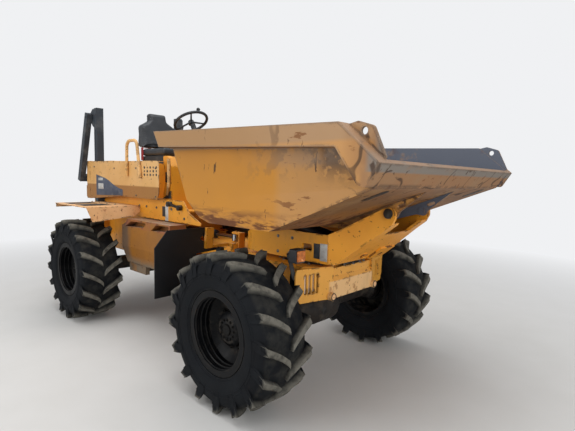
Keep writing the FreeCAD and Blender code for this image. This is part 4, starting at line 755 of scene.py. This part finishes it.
def weld_bead(name: str, points: Sequence[Vector], radius: float, body: str, finish: Finish) -> None:
    """Lays a weld bead along straight runs.

    Args:
        name: The piece's name.
        points: Corners of its centreline.
        radius: Its radius.
        body: The CAD body that it moves with.
        finish: Its surface.
    """
    curve = bpy.data.curves.new(name, "CURVE")
    curve.dimensions = "3D"
    curve.bevel_depth = radius
    curve.bevel_resolution = 3
    curve.use_fill_caps = True
    line = curve.splines.new("NURBS")
    line.points.add(len(points) - 1)
    for place, point in zip(line.points, points):
        place.co = (*point, 1.0)
    line.use_endpoint_u = True
    line.order_u = 2
    line.resolution_u = 6
    holder = bpy.data.objects.new(name + "_line", curve)
    mesh = bpy.data.meshes.new_from_object(holder)
    bpy.data.objects.remove(holder)
    settle(mesh, name, body, finish, 50.0)


def bolt_row(name: str, body: str, spots: Iterable[Vector], out: Vector, across: float) -> None:
    """Adds zinc plated bolt heads as one piece.

    Args:
        name: The piece's name.
        body: The CAD body that it moves with.
        spots: Points on the surface.
        out: Direction away from the surface, one unit long.
        across: Size across a head's corners.
    """
    row = Piece(name)
    for spot in spots:
        row.hex_bolt(spot, out, across)
    row.finish(body, ZINC)


def two_tone_plate(name: str, body: str, side: Side, out: float, dark: Sequence[float],
                   pale: Sequence[float]) -> None:
    """Adds a blank plate in two pieces, one dark and one pale.

    Args:
        name: The start of their names.
        body: The CAD body that they move with.
        side: The side that they are on.
        out: The distance of that surface from the machine's middle.
        dark: The dark piece's span, as rectangle takes it.
        pale: The pale piece's span.
    """
    for tone, finish, span in (("dark", PLASTIC, dark), ("pale", PALE_PLATE, pale)):
        plate = Piece(f"{name}_{tone}_{side.tag}")
        plate.plate(rectangle(side, out, span), side.out * LABEL_THICK, LABEL_BEVEL)
        plate.finish(body, finish)


# Sub-assemblies


@dataclass
class Tyre:
    """A lugged tyre: carcass with its sidewall rings, and two staggered rows of curved lugs."""

    corner: str
    lugs: int = 16
    lug_high: float = 0.0315
    inner_wide: float = 0.037
    outer_wide: float = 0.050
    inner_end: float = 0.007
    overhang: float = 0.058
    lean: float = 0.0056
    sweep: float = 0.32
    rounding: float = 0.0045
    cuts: int = 11
    steps: int = 112

    def __post_init__(self) -> None:
        """Reads the tyre's place and size from its CAD node."""
        low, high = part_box("tyre_" + self.corner)
        self.centre = (low + high) / 2
        self.radius = (high.z - low.z) / 2
        self.half = (high.y - low.y) / 2
        self.base = self.radius - self.lug_high

    def carcass(self, piece: Piece) -> None:
        """Turns the carcass from its half section."""
        section = [
            (0.166, 0.2575), (0.1665, 0.2915), (0.175, 0.2925), (0.1775, 0.2965), (0.1775, 0.3005),
            (0.181, 0.3015), (0.1835, 0.3055), (0.1835, 0.3095), (0.187, 0.3105), (0.194, 0.335),
            (0.1985, 0.362), (0.1995, 0.380), (0.2022, 0.3825), (0.2022, 0.3865), (0.1995, 0.389),
            (0.1997, 0.402), (0.2018, 0.4035), (0.2018, 0.4065), (0.199, 0.4085), (0.196, 0.432),
            (0.190, 0.455), (0.180, 0.474), (0.162, 0.487), (0.130, 0.4955), (0.070, 0.502), (0.0, self.base),
        ]
        profile = section + [(-y, r) for y, r in section[-2::-1]]
        piece.lathe(profile, self.centre, Vector((0, 1, 0)), self.steps)

    def bent(self, side: int, start: float, spot: Vector) -> Vector:
        """Where a point of the straight unit lug lies once the lug is bent over the tread.

        Args:
            side: 1 for the machine's left row, -1 for the right.
            start: Angle of the lug's inner end, in radians.
            spot: The point, half a unit or less from the lug's middle each way.

        Returns:
            The point in the model's frame.
        """
        along = (spot.x + 0.5) ** 1.5
        up = spot.z + 0.5
        reach = self.inner_end + along * (self.half - self.inner_end + self.overhang)
        drop = max(reach - self.half, 0.0)
        lean = self.lean - self.sweep * along ** 0.68
        wide = self.inner_wide + (self.outer_wide - self.inner_wide) * along
        nose = min(along / 0.11, 1.0)
        wide *= 0.34 + 0.66 * math.sqrt(1.0 - (1.0 - nose) ** 2)
        flare = 1.0 + 0.34 * (1.0 - up)
        foot = self.base - 0.012 - 0.060 * along ** 3 - drop * 0.55
        tip = self.radius - 0.004 * along - 0.021 * max(along - 0.60, 0.0) / 0.4 - drop * 1.0
        radius = foot + (tip - foot) * up
        angle = start + lean + spot.y * wide * flare / self.radius
        across = side * (min(reach, self.half) - (0.005 * up if drop > 0 else 0.0))
        return self.centre + Vector((radius * math.sin(angle), across, radius * math.cos(angle)))

    def lug(self, piece: Piece, side: int, start: float) -> None:
        """Bends one lug from a block, from the middle of the tread down over the shoulder.

        Args:
            piece: The tyre's mesh.
            side: 1 for the machine's left row, -1 for the right.
            start: Angle of its inner end, in radians.
        """
        form = bmesh.new()
        corners = bmesh.ops.create_cube(form, size=1.0)["verts"]
        lengthwise = {e for v in corners for e in v.link_edges if abs(e.verts[0].co.x - e.verts[1].co.x) > 0.5}
        bmesh.ops.subdivide_edges(form, edges=list(lengthwise), cuts=self.cuts, use_grid_fill=True)
        for vert in form.verts:
            vert.co = self.bent(side, start, vert.co)
        sharp = [e for e in form.edges if e.calc_face_angle(0.0) > math.radians(40)]
        bmesh.ops.bevel(form, geom=sharp, offset=self.rounding, segments=2, profile=0.5, affect="EDGES",
                        material=-1, clamp_overlap=True)
        # The bevel throws a few corners out, so they are brought back inside the tyre's width and radius.
        for vert in form.verts:
            arm = vert.co - self.centre
            flat = Vector((arm.x, 0, arm.z))
            flat *= min(1.0, self.radius / flat.length)
            vert.co = self.centre + flat + Vector((0, max(-self.half, min(self.half, arm.y)), 0))
        lug = to_mesh(form, "lug")
        piece.form.from_mesh(lug)
        bpy.data.meshes.remove(lug)

    def build(self) -> None:
        """Makes the tyre and marks its lugs' tops for the rubber's dust."""
        piece = Piece("lugged_tyre_" + self.corner)
        self.carcass(piece)
        pitch = 2 * math.pi / self.lugs
        for i in range(self.lugs):
            self.lug(piece, 1, -i * pitch)
            self.lug(piece, -1, -(i + 0.5) * pitch)
        made = piece.finish("wheel_" + self.corner, RUBBER, 40.0, ("tyre_" + self.corner,))
        top = made.data.attributes.new("lug_top", "FLOAT", "POINT")
        tread = made.data.attributes.new("tread", "FLOAT", "POINT")
        for vert in made.data.vertices:
            away = vert.co - self.centre
            radius = math.hypot(away.x, away.z)
            top.data[vert.index].value = min(max((radius - self.base - 0.006) / 0.012, 0.0), 1.0)
            tread.data[vert.index].value = min(max((0.190 - abs(away.y)) / 0.03, 0.0), 1.0)


@dataclass
class Wheel:
    """A rim's dish steps, nuts, hub face and valve."""

    corner: str
    nuts: int = 10
    nut_circle: float = 0.148
    nut_across: float = 0.034
    cover_bolts: int = 12
    cover_circle: float = 0.068
    ribs: int = 10
    disc_out: float = -0.005
    hub_out: float = 0.075
    wall: float = 0.2425
    lip_out: float = 0.1712
    lip_radius: float = 0.2825

    def __post_init__(self) -> None:
        """Reads the rim's place from its CAD node."""
        self.body = "wheel_" + self.corner
        self.centre = middle("rim_" + self.corner)
        self.out = Vector((0, math.copysign(1.0, self.centre.y), 0))

    def build(self) -> None:
        """Dresses the rim and adds what is bolted on it."""
        dress("rim_" + self.corner, RIM_ENAMEL, 0.002, 40.0)
        self.dish()
        self.hub()
        self.fasteners()

    def dish(self) -> None:
        """Adds the rolled lip and the steps inside the barrel."""
        lip = Piece("rim_lip_" + self.corner)
        lip.ring(self.centre + self.out * self.lip_out, self.out, self.lip_radius, 0.0036, 72, 8)
        for level, high in ((0.150, 0.006), (0.108, 0.008), (0.066, 0.007)):
            lip.lathe([(level + 0.016, self.wall), (level + 0.010, self.wall - high),
                       (level - 0.010, self.wall - high), (level - 0.016, self.wall)], self.centre, self.out, 72)
        lip.finish(self.body, RIM_ENAMEL)

    def hub(self) -> None:
        """Adds the hub's ribbed casting, its cover and the valve."""
        hub = Piece("hub_cover_" + self.corner)
        face = self.hub_out + STAND_OFF
        hub.lathe([(face, 0.0), (face + 0.012, 0.0), (face + 0.014, 0.022), (face + 0.010, 0.036), (face, 0.040)],
                  self.centre, self.out, 40)
        hub.lathe([(face - 0.024, 0.118), (face - 0.014, 0.1095), (face - 0.008, 0.100), (face - 0.018, 0.096)],
                  self.centre, self.out, 48)
        for arm in spokes(self.ribs):
            hub.round_bar(self.centre + self.out * 0.006 + arm * 0.119, self.centre + self.out * 0.052 + arm * 0.113,
                          0.011, 10, 0.008)
        hub.finish(self.body, HUB_CASTING)
        valve = Piece("valve_stem_" + self.corner)
        foot = self.centre + self.out * 0.045 + Vector((0.231, 0, 0.052))
        valve.round_bar(foot, foot + self.out * 0.03 - Vector((0.012, 0, 0.003)), 0.0045, 12, bevel=0.0006)
        valve.finish(self.body, PLASTIC)

    def fasteners(self) -> None:
        """Adds the wheel nuts and the hub's bolts."""
        fasteners = Piece("wheel_nuts_" + self.corner)
        for arm in spokes(self.nuts, 0.5):
            spot = self.centre + self.out * (self.disc_out + STAND_OFF) + arm * self.nut_circle
            fasteners.hex_bolt(spot, self.out, self.nut_across)
        for arm in spokes(self.cover_bolts):
            spot = self.centre + self.out * (self.hub_out + STAND_OFF) + arm * self.cover_circle
            fasteners.hex_bolt(spot, self.out, 0.016)
        fasteners.finish(self.body, HUB_CASTING)


@dataclass
class Cushion:
    """A padded piece swollen by cloth simulation from its CAD solid."""

    node: str
    voxel: float = 0.006
    cap: float = 0.012
    shrink: float = 0.012
    rounding: float = 0.018
    pressure: float = 4.0
    frames: int = 20

    def start(self) -> bpy.types.Mesh:
        """A merged, slightly smaller copy of the CAD solid with rounded edges."""
        form = merged(self.node)
        centre = sum((v.co for v in form.verts), Vector()) / len(form.verts)
        size = Vector([max(v.co[i] for v in form.verts) - min(v.co[i] for v in form.verts) for i in range(3)])
        for vert in form.verts:
            vert.co = centre + Vector([(vert.co[i] - centre[i]) * (1 - 2 * self.shrink / size[i]) for i in range(3)])
        bmesh.ops.bevel(form, geom=list(form.edges), offset=self.rounding, segments=3, profile=0.5, affect="EDGES",
                        material=-1, clamp_overlap=True)
        return to_mesh(form, self.node + "_pad")

    def remesh(self, holder: bpy.types.Object) -> bpy.types.Mesh:
        """Gives the holder an even mesh of small voxels and returns that mesh."""
        voxels = holder.modifiers.new("voxels", "REMESH")
        voxels.mode = "VOXEL"
        voxels.voxel_size = self.voxel
        bpy.context.view_layer.update()
        graph = bpy.context.evaluated_depsgraph_get()
        fine = bpy.data.meshes.new_from_object(holder.evaluated_get(graph))
        holder.modifiers.clear()
        holder.data = fine
        return fine

    def swell(self, holder: bpy.types.Object) -> list[Vector]:
        """Blows the holder up as cloth and returns where its points end."""
        cloth = holder.modifiers.new("swell", "CLOTH")
        cloth.settings.use_pressure = True
        cloth.settings.uniform_pressure_force = self.pressure
        cloth.settings.effector_weights.gravity = 0.0
        cloth.settings.quality = 5
        scene = bpy.context.scene
        for frame_number in range(1, self.frames + 1):
            scene.frame_set(frame_number)
        shaped = holder.evaluated_get(bpy.context.evaluated_depsgraph_get()).to_mesh()
        swollen = [v.co.copy() for v in shaped.vertices]
        holder.modifiers.clear()
        scene.frame_set(1)
        return swollen

    def build(self) -> None:
        """Remeshes, swells and finishes the pad, with no point moved farther than the cap."""
        holder = add_object(self.node + "_work", self.start())
        fine = self.remesh(holder)
        rest = [v.co.copy() for v in fine.vertices]
        swollen = self.swell(holder)
        for vert, before, after in zip(fine.vertices, rest, swollen):
            move = after - before
            if move.length > self.cap:
                move = move.normalized() * self.cap
            vert.co = before + move
        bpy.data.objects.remove(holder)
        pad = settle(fine, self.node + "_pad", body_of(self.node), VINYL, 60.0, (self.node,))
        finer = pad.modifiers.new("finer", "SUBSURF")
        finer.levels = finer.render_levels = 1


@dataclass
class Seat:
    """Driver's seat with its cushions, lap belt and frame."""

    body: str = "rear_frame"
    belt_out: float = 0.235
    webbing: float = 0.002

    def build(self) -> None:
        """Makes the seat's pads, belt and fittings."""
        Cushion("seat_cushion").build()
        Cushion("seat_back", cap=0.014).build()
        dress("seat_frame", PLASTIC, 0.004)
        low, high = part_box("seat_cushion")
        belt = Piece("lap_belt")
        for side in Side:
            y = side.value * self.belt_out
            belt.block((low.x + 0.02, y - self.webbing, low.z - 0.05),
                       (low.x + 0.07, y + self.webbing, low.z + 0.1), 0.0008)
        belt.block((low.x + 0.02, -0.236, high.z + 0.006), (low.x + 0.066, 0.236, high.z + 0.009), 0.0008)
        belt.finish(self.body, WEBBING)
        buckle = Piece("belt_buckle")
        buckle.block((low.x + 0.012, -0.04, high.z + 0.008), (low.x + 0.074, 0.03, high.z + 0.026), 0.003)
        buckle.block((low.x + 0.02, 0.224, low.z - 0.02), (low.x + 0.07, 0.246, low.z + 0.05), 0.003)
        buckle.finish(self.body, PLASTIC)


@dataclass
class SteeringWheel:
    """Steering wheel with dished spokes and a spinner knob."""

    body: str = "rear_frame"
    radius: float = 0.180
    grip: float = 0.0155
    spokes: tuple[float, ...] = (90.0, 210.0, 330.0)
    column: Triple = (0.26, 0.0, -0.435)

    def build(self) -> None:
        """Builds the wheel from the column's direction."""
        normal = -Vector(self.column).normalized()
        centre = middle("steering_wheel") - Vector((0, 0, 0.02)) + normal * 0.03
        wheel = Piece("steering_wheel_rim")
        wheel.ring(centre, normal, self.radius, self.grip, 64, 14)
        across = Vector((normal.z, 0, -normal.x))
        reach = self.radius - 0.002
        for angle in (math.radians(degrees) for degrees in self.spokes):
            out = Vector((0, 1, 0)) * math.sin(angle) + across * math.cos(angle)
            wheel.round_bar(centre, centre + out * reach, 0.011, 14, 0.008)
        wheel.round_bar(centre - normal * 0.03, centre + normal * 0.015, 0.036, 32, 0.030, bevel=0.004)
        knob = centre + across * reach
        wheel.round_bar(knob, knob + normal * 0.045, 0.010, 16, 0.016)
        wheel.round_bar(knob + normal * 0.03, knob + normal * 0.052, 0.022, 24, 0.016, bevel=0.004)
        wheel.finish(self.body, PLASTIC, 40.0, ("steering_wheel",))
        dress("steering_column", PLASTIC, 0.002)


@dataclass
class Skip:
    """The skip's shell with its weld beads, pin caps and black plates painted as the shade in the slots under its lip.
    """

    body: str = "skip"
    bead: float = 0.004
    side_out: float = 0.9365
    side_weld: Pairs = ((-0.72, 0.535), (0.9, 0.487))
    web_out: float = 0.2295
    web_weld: Pairs = ((-0.23, -0.003), (0.37, -0.003), (1.0, 0.245))
    pin_cap: Triple = (0.8, 0.2742, 0.11)
    slot_middle: Triple = (0.975, 0.735, 1.484)
    slot_radius: float = 0.032
    slot_half: float = 0.052

    def build(self) -> None:
        """Dresses the skip and its underframe."""
        dress("skip_shell", SKIP_ENAMEL, 0.003)
        dress("skip_underframe", SKIP_ENAMEL, 0.003)
        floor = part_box("skip_shell")[0].z
        for side in Side:
            for name, out, line in (("skip_rim_weld_", self.side_out, self.side_weld),
                                    ("web_weld_", self.web_out, self.web_weld)):
                points = [ahead(x, side.value * out, floor + z) for x, z in line]
                weld_bead(name + side.tag, points, self.bead, self.body, SKIP_ENAMEL)
            x, y, z = self.pin_cap
            tip = ahead(x, side.value * y, floor + z)
            cap = Piece("tipping_pin_cap_" + side.tag)
            cap.round_bar(tip, tip + side.out * 0.004, 0.034, 32, bevel=0.001)
            cap.finish(self.body, GREASED)
            self.slot(side)

    def slot(self, side: Side) -> None:
        """Adds a black plate as painted shade for the round-ended slot in the underside of the lip, on the given side.
        """
        slope = Vector((0.93, 0, 0.37)).normalized()
        below = Vector((0.37, 0, -0.93)).normalized()
        x, y, z = self.slot_middle
        heart = ahead(x, side.value * y, z) + below * 0.0004
        outline = []
        for i in range(24):
            turn = 2 * math.pi * (i + 0.5) / 24
            reach = self.slot_radius * math.cos(turn) + math.copysign(self.slot_half, math.cos(turn))
            outline.append(heart + slope * reach + Vector((0, self.slot_radius * math.sin(turn), 0)))
        # A thin black plate stands for the slot's shadowed opening: painted shade.
        slot = Piece("lip_slot_" + side.tag)
        slot.plate(outline, below * 0.001)
        slot.finish(self.body, BLACK_ENAMEL)


@dataclass
class FrontEnd:
    """Front frame: beam, guards, lamps and the turntable's bolts."""

    body: str = "front_frame"
    glass_out: float = 0.4525
    glass_half: float = 0.085
    glass_deep: float = 0.026
    glass_margin: float = 0.02
    boss: Triple = (0.392, 0.282, 0.717)
    turntable_bolts: int = 12
    bolt_circle: float = 0.345

    def build(self) -> None:
        """Dresses the front frame and adds its lamps and bolts."""
        for node, finish, bevel in (
            ("front_chassis", ENAMEL, 0.0025), ("front_beam", BEAM_ENAMEL, 0.0025), ("guard_posts", ENAMEL, 0.002),
            ("wheel_guards", BLACK_ENAMEL, 0.0015), ("front_axle", CASTING, 0.004),
            ("headlamps", BLACK_ENAMEL, 0.003), ("side_lamps", PLASTIC, 0.002), ("side_lenses", AMBER, 0.002),
            ("slew_ring_lower", GREASED, 0.001),
        ):
            dress(node, finish, bevel)
        low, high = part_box("headlamps")
        centre = middle("slew_ring_lower")
        for side in Side:
            y = side.value * self.glass_out
            glass = Piece("headlamp_glass_" + side.tag)
            glass.block((high.x, y - self.glass_half, low.z + self.glass_margin),
                        (high.x + self.glass_deep, y + self.glass_half, high.z - self.glass_margin), 0.006)
            glass.finish(self.body, LENS)
            self.boss_cap(side)
            turns = [math.pi * (i + 0.5) / self.turntable_bolts * side.value for i in range(self.turntable_bolts)]
            spots = [Vector((centre.x + self.bolt_circle * math.cos(turn), self.bolt_circle * math.sin(turn),
                             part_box("slew_ring_lower")[0].z)) for turn in turns]
            bolt_row("turntable_bolts_" + side.tag, self.body, spots, Vector((0, 0, 1)), 0.02)

    def boss_cap(self, side: Side) -> None:
        """Adds the pale cap and its dark ring on the beam's round boss, on the given side."""
        out = Vector((1, 0, 0))
        x, y, z = self.boss
        face = ahead(x, side.value * y, z)
        cap = Piece("beam_boss_cap_" + side.tag)
        cap.round_bar(face, face + out * 0.003, 0.021, 36, bevel=0.001)
        cap.finish(self.body, PALE_ENAMEL)
        ring = Piece("beam_boss_ring_" + side.tag)
        ring.ring(face + out * 0.001, out, 0.0252, 0.0034, 40, 8)
        ring.finish(self.body, BLACK_ENAMEL)


@dataclass
class Carrier:
    """Swivel frame with its ring, and the three rams."""

    body: str = "carrier"
    side_out: float = 0.3652
    bolts: Pairs = ((-0.1, 1.0), (-0.1, 1.12), (0.02, 1.0), (0.05, 1.12))

    def build(self) -> None:
        """Dresses the carrier, its ring and the rams, and adds its blank plates and bolts."""
        dress("carrier_frame", ENAMEL, 0.0025)
        dress("slew_ring_upper", GREASED, 0.001)
        for ram in ("tip_{}", "steer_{}_right", "steer_{}_left"):
            dress(ram.format("barrel"), BLACK_ENAMEL, 0.002, 45.0)
            dress(ram.format("rod"), CHROME, 0.001, 45.0)
        for side in Side:
            two_tone_plate("carrier_plate", self.body, side, self.side_out,
                           dark=(0.262, 0.318, 0.995, 1.105), pale=(0.320, 0.385, 0.985, 1.11))
            spots = [ahead(x, side.value * self.side_out, z) for x, z in self.bolts]
            bolt_row("carrier_bolts_" + side.tag, self.body, spots, side.out, 0.018)


@dataclass
class RearEnd:
    """Rear frame with deck, covers, mudguards, bumper and roll hoop."""

    body: str = "rear_frame"
    cover_out: float = 0.5902
    frame_out: float = 0.5002
    console_out: float = 0.4802
    insert: Pairs = (
        (-2.925, 1.325), (-2.25, 1.345), (-2.25, 1.408), (-2.37, 1.428), (-2.50, 1.468), (-2.60, 1.505),
        (-2.70, 1.532), (-2.925, 1.568))
    insert_thick: float = 0.002
    insert_labels: tuple[tuple[float, ...], ...] = ((-2.87, -2.74, 1.500, 1.530), (-2.87, -2.73, 1.40, 1.465))
    vent_corner: tuple[float, float] = (-1.775, 1.575)
    vent_pitch: tuple[float, float] = (0.058, 0.036)
    strips: Pairs = ((-2.80, -2.60), (-2.48, -2.24))
    frame_bolts: Pairs = (
        (-2.05, 1.245), (-1.9, 1.245), (-1.7, 1.245), (-1.42, 1.245), (-1.2, 1.17))

    def build(self) -> None:
        """Dresses the rear frame and adds its plates and small fittings."""
        for node, finish, *edges in (
            ("side_panels", FADED_ENAMEL, 0.0025), ("rear_cowl", FADED_ENAMEL, 0.0025),
            ("bonnet", FADED_ENAMEL, 0.0025), ("mudguards", PALE_ENAMEL, 0.0025), ("rear_chassis", ENAMEL, 0.0025),
            ("seat_base", ENAMEL, 0.0025), ("footwell", ENAMEL, 0.0025), ("rear_bumper", ENAMEL, 0.0025),
            ("step_boxes", STEP_ENAMEL, 0.0025), ("handrails", FADED_ENAMEL, 0.001, 50.0),
            ("rear_axle", CASTING, 0.004), ("engine_block", CASTING, 0.004), ("rear_grille", BLACK_ENAMEL, 0.001),
            ("roll_posts", HOOP_ENAMEL, 0.003), ("roll_hoop", HOOP_ENAMEL, 0.004), ("lock_bar", GREASED, 0.001, 45.0),
        ):
            dress(node, finish, *edges)
        for side in Side:
            self.covers(side)
            self.mudguard(side)
            self.plates(side)

    def covers(self, side: Side) -> None:
        """Adds one side's slate insert, its blank plates, black discs as painted shade in the vent holes and the
        cover's screws.
        """
        y = side.value * self.cover_out
        insert = Piece("cover_insert_" + side.tag)
        insert.plate([ahead(x, y, z) for x, z in self.insert], side.out * self.insert_thick, 0.0008)
        insert.finish(self.body, SLATE_INSERT)
        labels = Piece("insert_plates_" + side.tag)
        for span in self.insert_labels:
            labels.plate(rectangle(side, self.cover_out + self.insert_thick + STAND_OFF, span),
                         side.out * LABEL_THICK, LABEL_BEVEL)
        labels.finish(self.body, PALE_PLATE)
        # Black discs stand for the shaded vent holes: painted shade.
        vents = Piece("cover_vent_plugs_" + side.tag)
        for row in range(3):
            for column in range(5):
                spot = ahead(self.vent_corner[0] + self.vent_pitch[0] * column, y,
                             self.vent_corner[1] + self.vent_pitch[1] * row)
                vents.round_bar(spot, spot + side.out * 0.0012, 0.010 if (row + column) % 2 else 0.013, 18,
                                bevel=0.0004)
        vents.finish(self.body, PLASTIC)
        spots = [ahead(x, y, z + (0.02 if x < -2.5 else 0.0)) for x in (-2.98, -2.45, -1.95, -1.56)
                 for z in (1.36, 1.64) if x > -2.1 or z > 1.5]
        bolt_row("cover_screws_" + side.tag, self.body, spots, side.out, 0.014)

    def mudguard(self, side: Side) -> None:
        """Adds the dark tread strips on one mudguard's top and the bolts of its flap."""
        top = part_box("mudguards")[1].z + STAND_OFF
        low, high = sorted((side.value * 0.72, side.value * 1.0))
        strips = Piece("mudguard_strips_" + side.tag)
        for rear, front in self.strips:
            strips.block((X + rear, low, top), (X + front, high, top + 0.003), 0.001)
        strips.finish(self.body, PLASTIC)
        spots = [ahead(x, side.value * 0.655, top) for x in (-2.9, -2.7, -2.5, -2.3)]
        bolt_row("mudguard_bolts_" + side.tag, self.body, spots, Vector((0, 0, 1)), 0.016)

    def plates(self, side: Side) -> None:
        """Adds one frame side's blank two-tone plate, the console's panel and the frame's bolts."""
        two_tone_plate("frame_plate", self.body, side, self.frame_out,
                       dark=(-1.590, -1.535, 1.165, 1.265), pale=(-1.533, -1.478, 1.125, 1.285))
        y = side.value * self.console_out
        panel = Piece("console_panel_" + side.tag)
        for outline in (rectangle(side, self.console_out, (-1.56, -1.475, 1.505, 1.605)),
                        [ahead(-1.60, y, 1.345), ahead(-1.462, y, 1.345), ahead(-1.462, y, 1.425)]):
            panel.plate(outline, side.out * 0.003, 0.001)
        panel.finish(self.body, PLASTIC)
        spots = [ahead(x, side.value * self.frame_out, z) for x, z in self.frame_bolts]
        bolt_row("frame_bolts_" + side.tag, self.body, spots, side.out, 0.018)


@dataclass
class Studio:
    """Pale floor, soft light and the camera at the photograph's angle."""

    eye: Triple = (2.1587, -2.6948, 1.5698)
    yaw: float = 132.895
    pitch: float = 5.094
    roll: float = 1.227
    lens: float = 26.13
    lights: dict[str, tuple[Triple, float, float]] = field(default_factory=lambda: {
        "sky_panel": ((0.5, -0.5, 6.5), 6.0, 300.0),
        "front_panel": ((7.0, -3.0, 2.6), 3.5, 150.0),
        "side_panel": ((-2.0, -7.5, 3.4), 4.0, 170.0),
    })
    aim: Triple = (0.3, 0.0, 0.8)
    haze: str = "F0F1F3"
    haze_from: float = 3.0
    haze_full: float = 8.0

    def camera(self) -> None:
        """Sets up the scene's camera."""
        data = bpy.data.cameras.new("photo_camera")
        data.lens = self.lens
        data.sensor_width = 36.0
        data.clip_end = 100.0
        yaw, pitch, roll = (math.radians(a) for a in (self.yaw, self.pitch, self.roll))
        forward = Vector((math.cos(yaw) * math.cos(pitch), math.sin(yaw) * math.cos(pitch), -math.sin(pitch)))
        right = Vector((math.sin(yaw), -math.cos(yaw), 0.0))
        up = right.cross(forward)
        level_right = math.cos(roll) * right + math.sin(roll) * up
        level_up = -math.sin(roll) * right + math.cos(roll) * up
        turn = Matrix((level_right, level_up, -forward)).transposed()
        holder = add_object("photo_camera", data)
        holder.matrix_world = Matrix.Translation(ahead(*self.eye)) @ turn.to_4x4()
        bpy.context.scene.camera = holder

    def floor(self) -> None:
        """Makes the pale floor, which shows white to the camera but keeps the shadow."""
        form = bmesh.new()
        bmesh.ops.create_grid(form, x_segments=2, y_segments=2, size=60.0)
        mesh = to_mesh(form, "studio_floor")
        material = bpy.data.materials.new("pale_floor")
        material.use_nodes = True
        tree = material.node_tree
        tree.nodes.clear()
        place = add_node(tree, "ShaderNodeTexCoord")
        grain = add_node(tree, "ShaderNodeTexNoise", {"Scale": 3.0, "Detail": 6.0}, {"Vector": place.outputs["Object"]})
        tint = add_node(tree, "ShaderNodeMix", {"data_type": "RGBA", 6: linear("C8C7C4"), 7: linear("D0CFCD")},
                        {0: grain.outputs[0]})
        shader = add_node(tree, "ShaderNodeBsdfPrincipled", {"Roughness": 0.9}, {"Base Color": tint.outputs[2]})
        away = add_node(tree, "ShaderNodeVectorMath", {"operation": "LENGTH"}, {0: place.outputs["Object"]})
        rays = add_node(tree, "ShaderNodeLightPath")
        far = times(tree, ramp(tree, away.outputs["Value"], self.haze_from, self.haze_full),
                    rays.outputs["Is Camera Ray"])
        haze = add_node(tree, "ShaderNodeEmission", {"Color": linear(self.haze), "Strength": 1.0})
        blend = add_node(tree, "ShaderNodeMixShader", links={0: far, 1: shader.outputs[0], 2: haze.outputs[0]})
        add_node(tree, "ShaderNodeOutputMaterial", links={"Surface": blend.outputs[0]})
        mesh.materials.append(material)
        made = add_object("studio_floor", mesh)

    def light(self) -> None:
        """Lights the object softly from above, with a white background."""
        for name, (place, size, power) in self.lights.items():
            data = bpy.data.lights.new(name, "AREA")
            data.size = size
            data.energy = power
            aim = Vector(self.aim) - Vector(place)
            holder = add_object(name, data)
            holder.matrix_world = Matrix.Translation(place) @ aim.to_track_quat("-Z", "Y").to_matrix().to_4x4()
        world = bpy.data.worlds.new("soft_sky")
        world.use_nodes = True
        tree = world.node_tree
        tree.nodes.clear()
        rays = add_node(tree, "ShaderNodeLightPath")
        seen = add_node(tree, "ShaderNodeMath", {"operation": "MAXIMUM"},
                        {0: rays.outputs["Is Camera Ray"], 1: rays.outputs["Is Transmission Ray"]})
        strength = ramp(tree, seen.outputs[0], 0.0, 1.0, 0.62, 1.0)
        sky = add_node(tree, "ShaderNodeBackground", {"Color": linear(self.haze)}, {"Strength": strength})
        add_node(tree, "ShaderNodeOutputWorld", links={"Surface": sky.outputs[0]})
        bpy.context.scene.world = world
        bpy.context.scene.view_settings.view_transform = "Standard"

    def build(self) -> None:
        """Sets up camera, floor and light."""
        self.camera()
        self.floor()
        self.light()


def main() -> None:
    logging.basicConfig(level=logging.INFO, format="%(message)s")
    Studio().build()
    for corner in ("front_right", "front_left", "rear_right", "rear_left"):
        Tyre(corner).build()
        Wheel(corner).build()
    for part in (FrontEnd(), Carrier(), Skip(), RearEnd(), Seat(), SteeringWheel()):
        part.build()
        LOG.info("%s is ready", type(part).__name__)


if __name__ == "__main__":
    main()
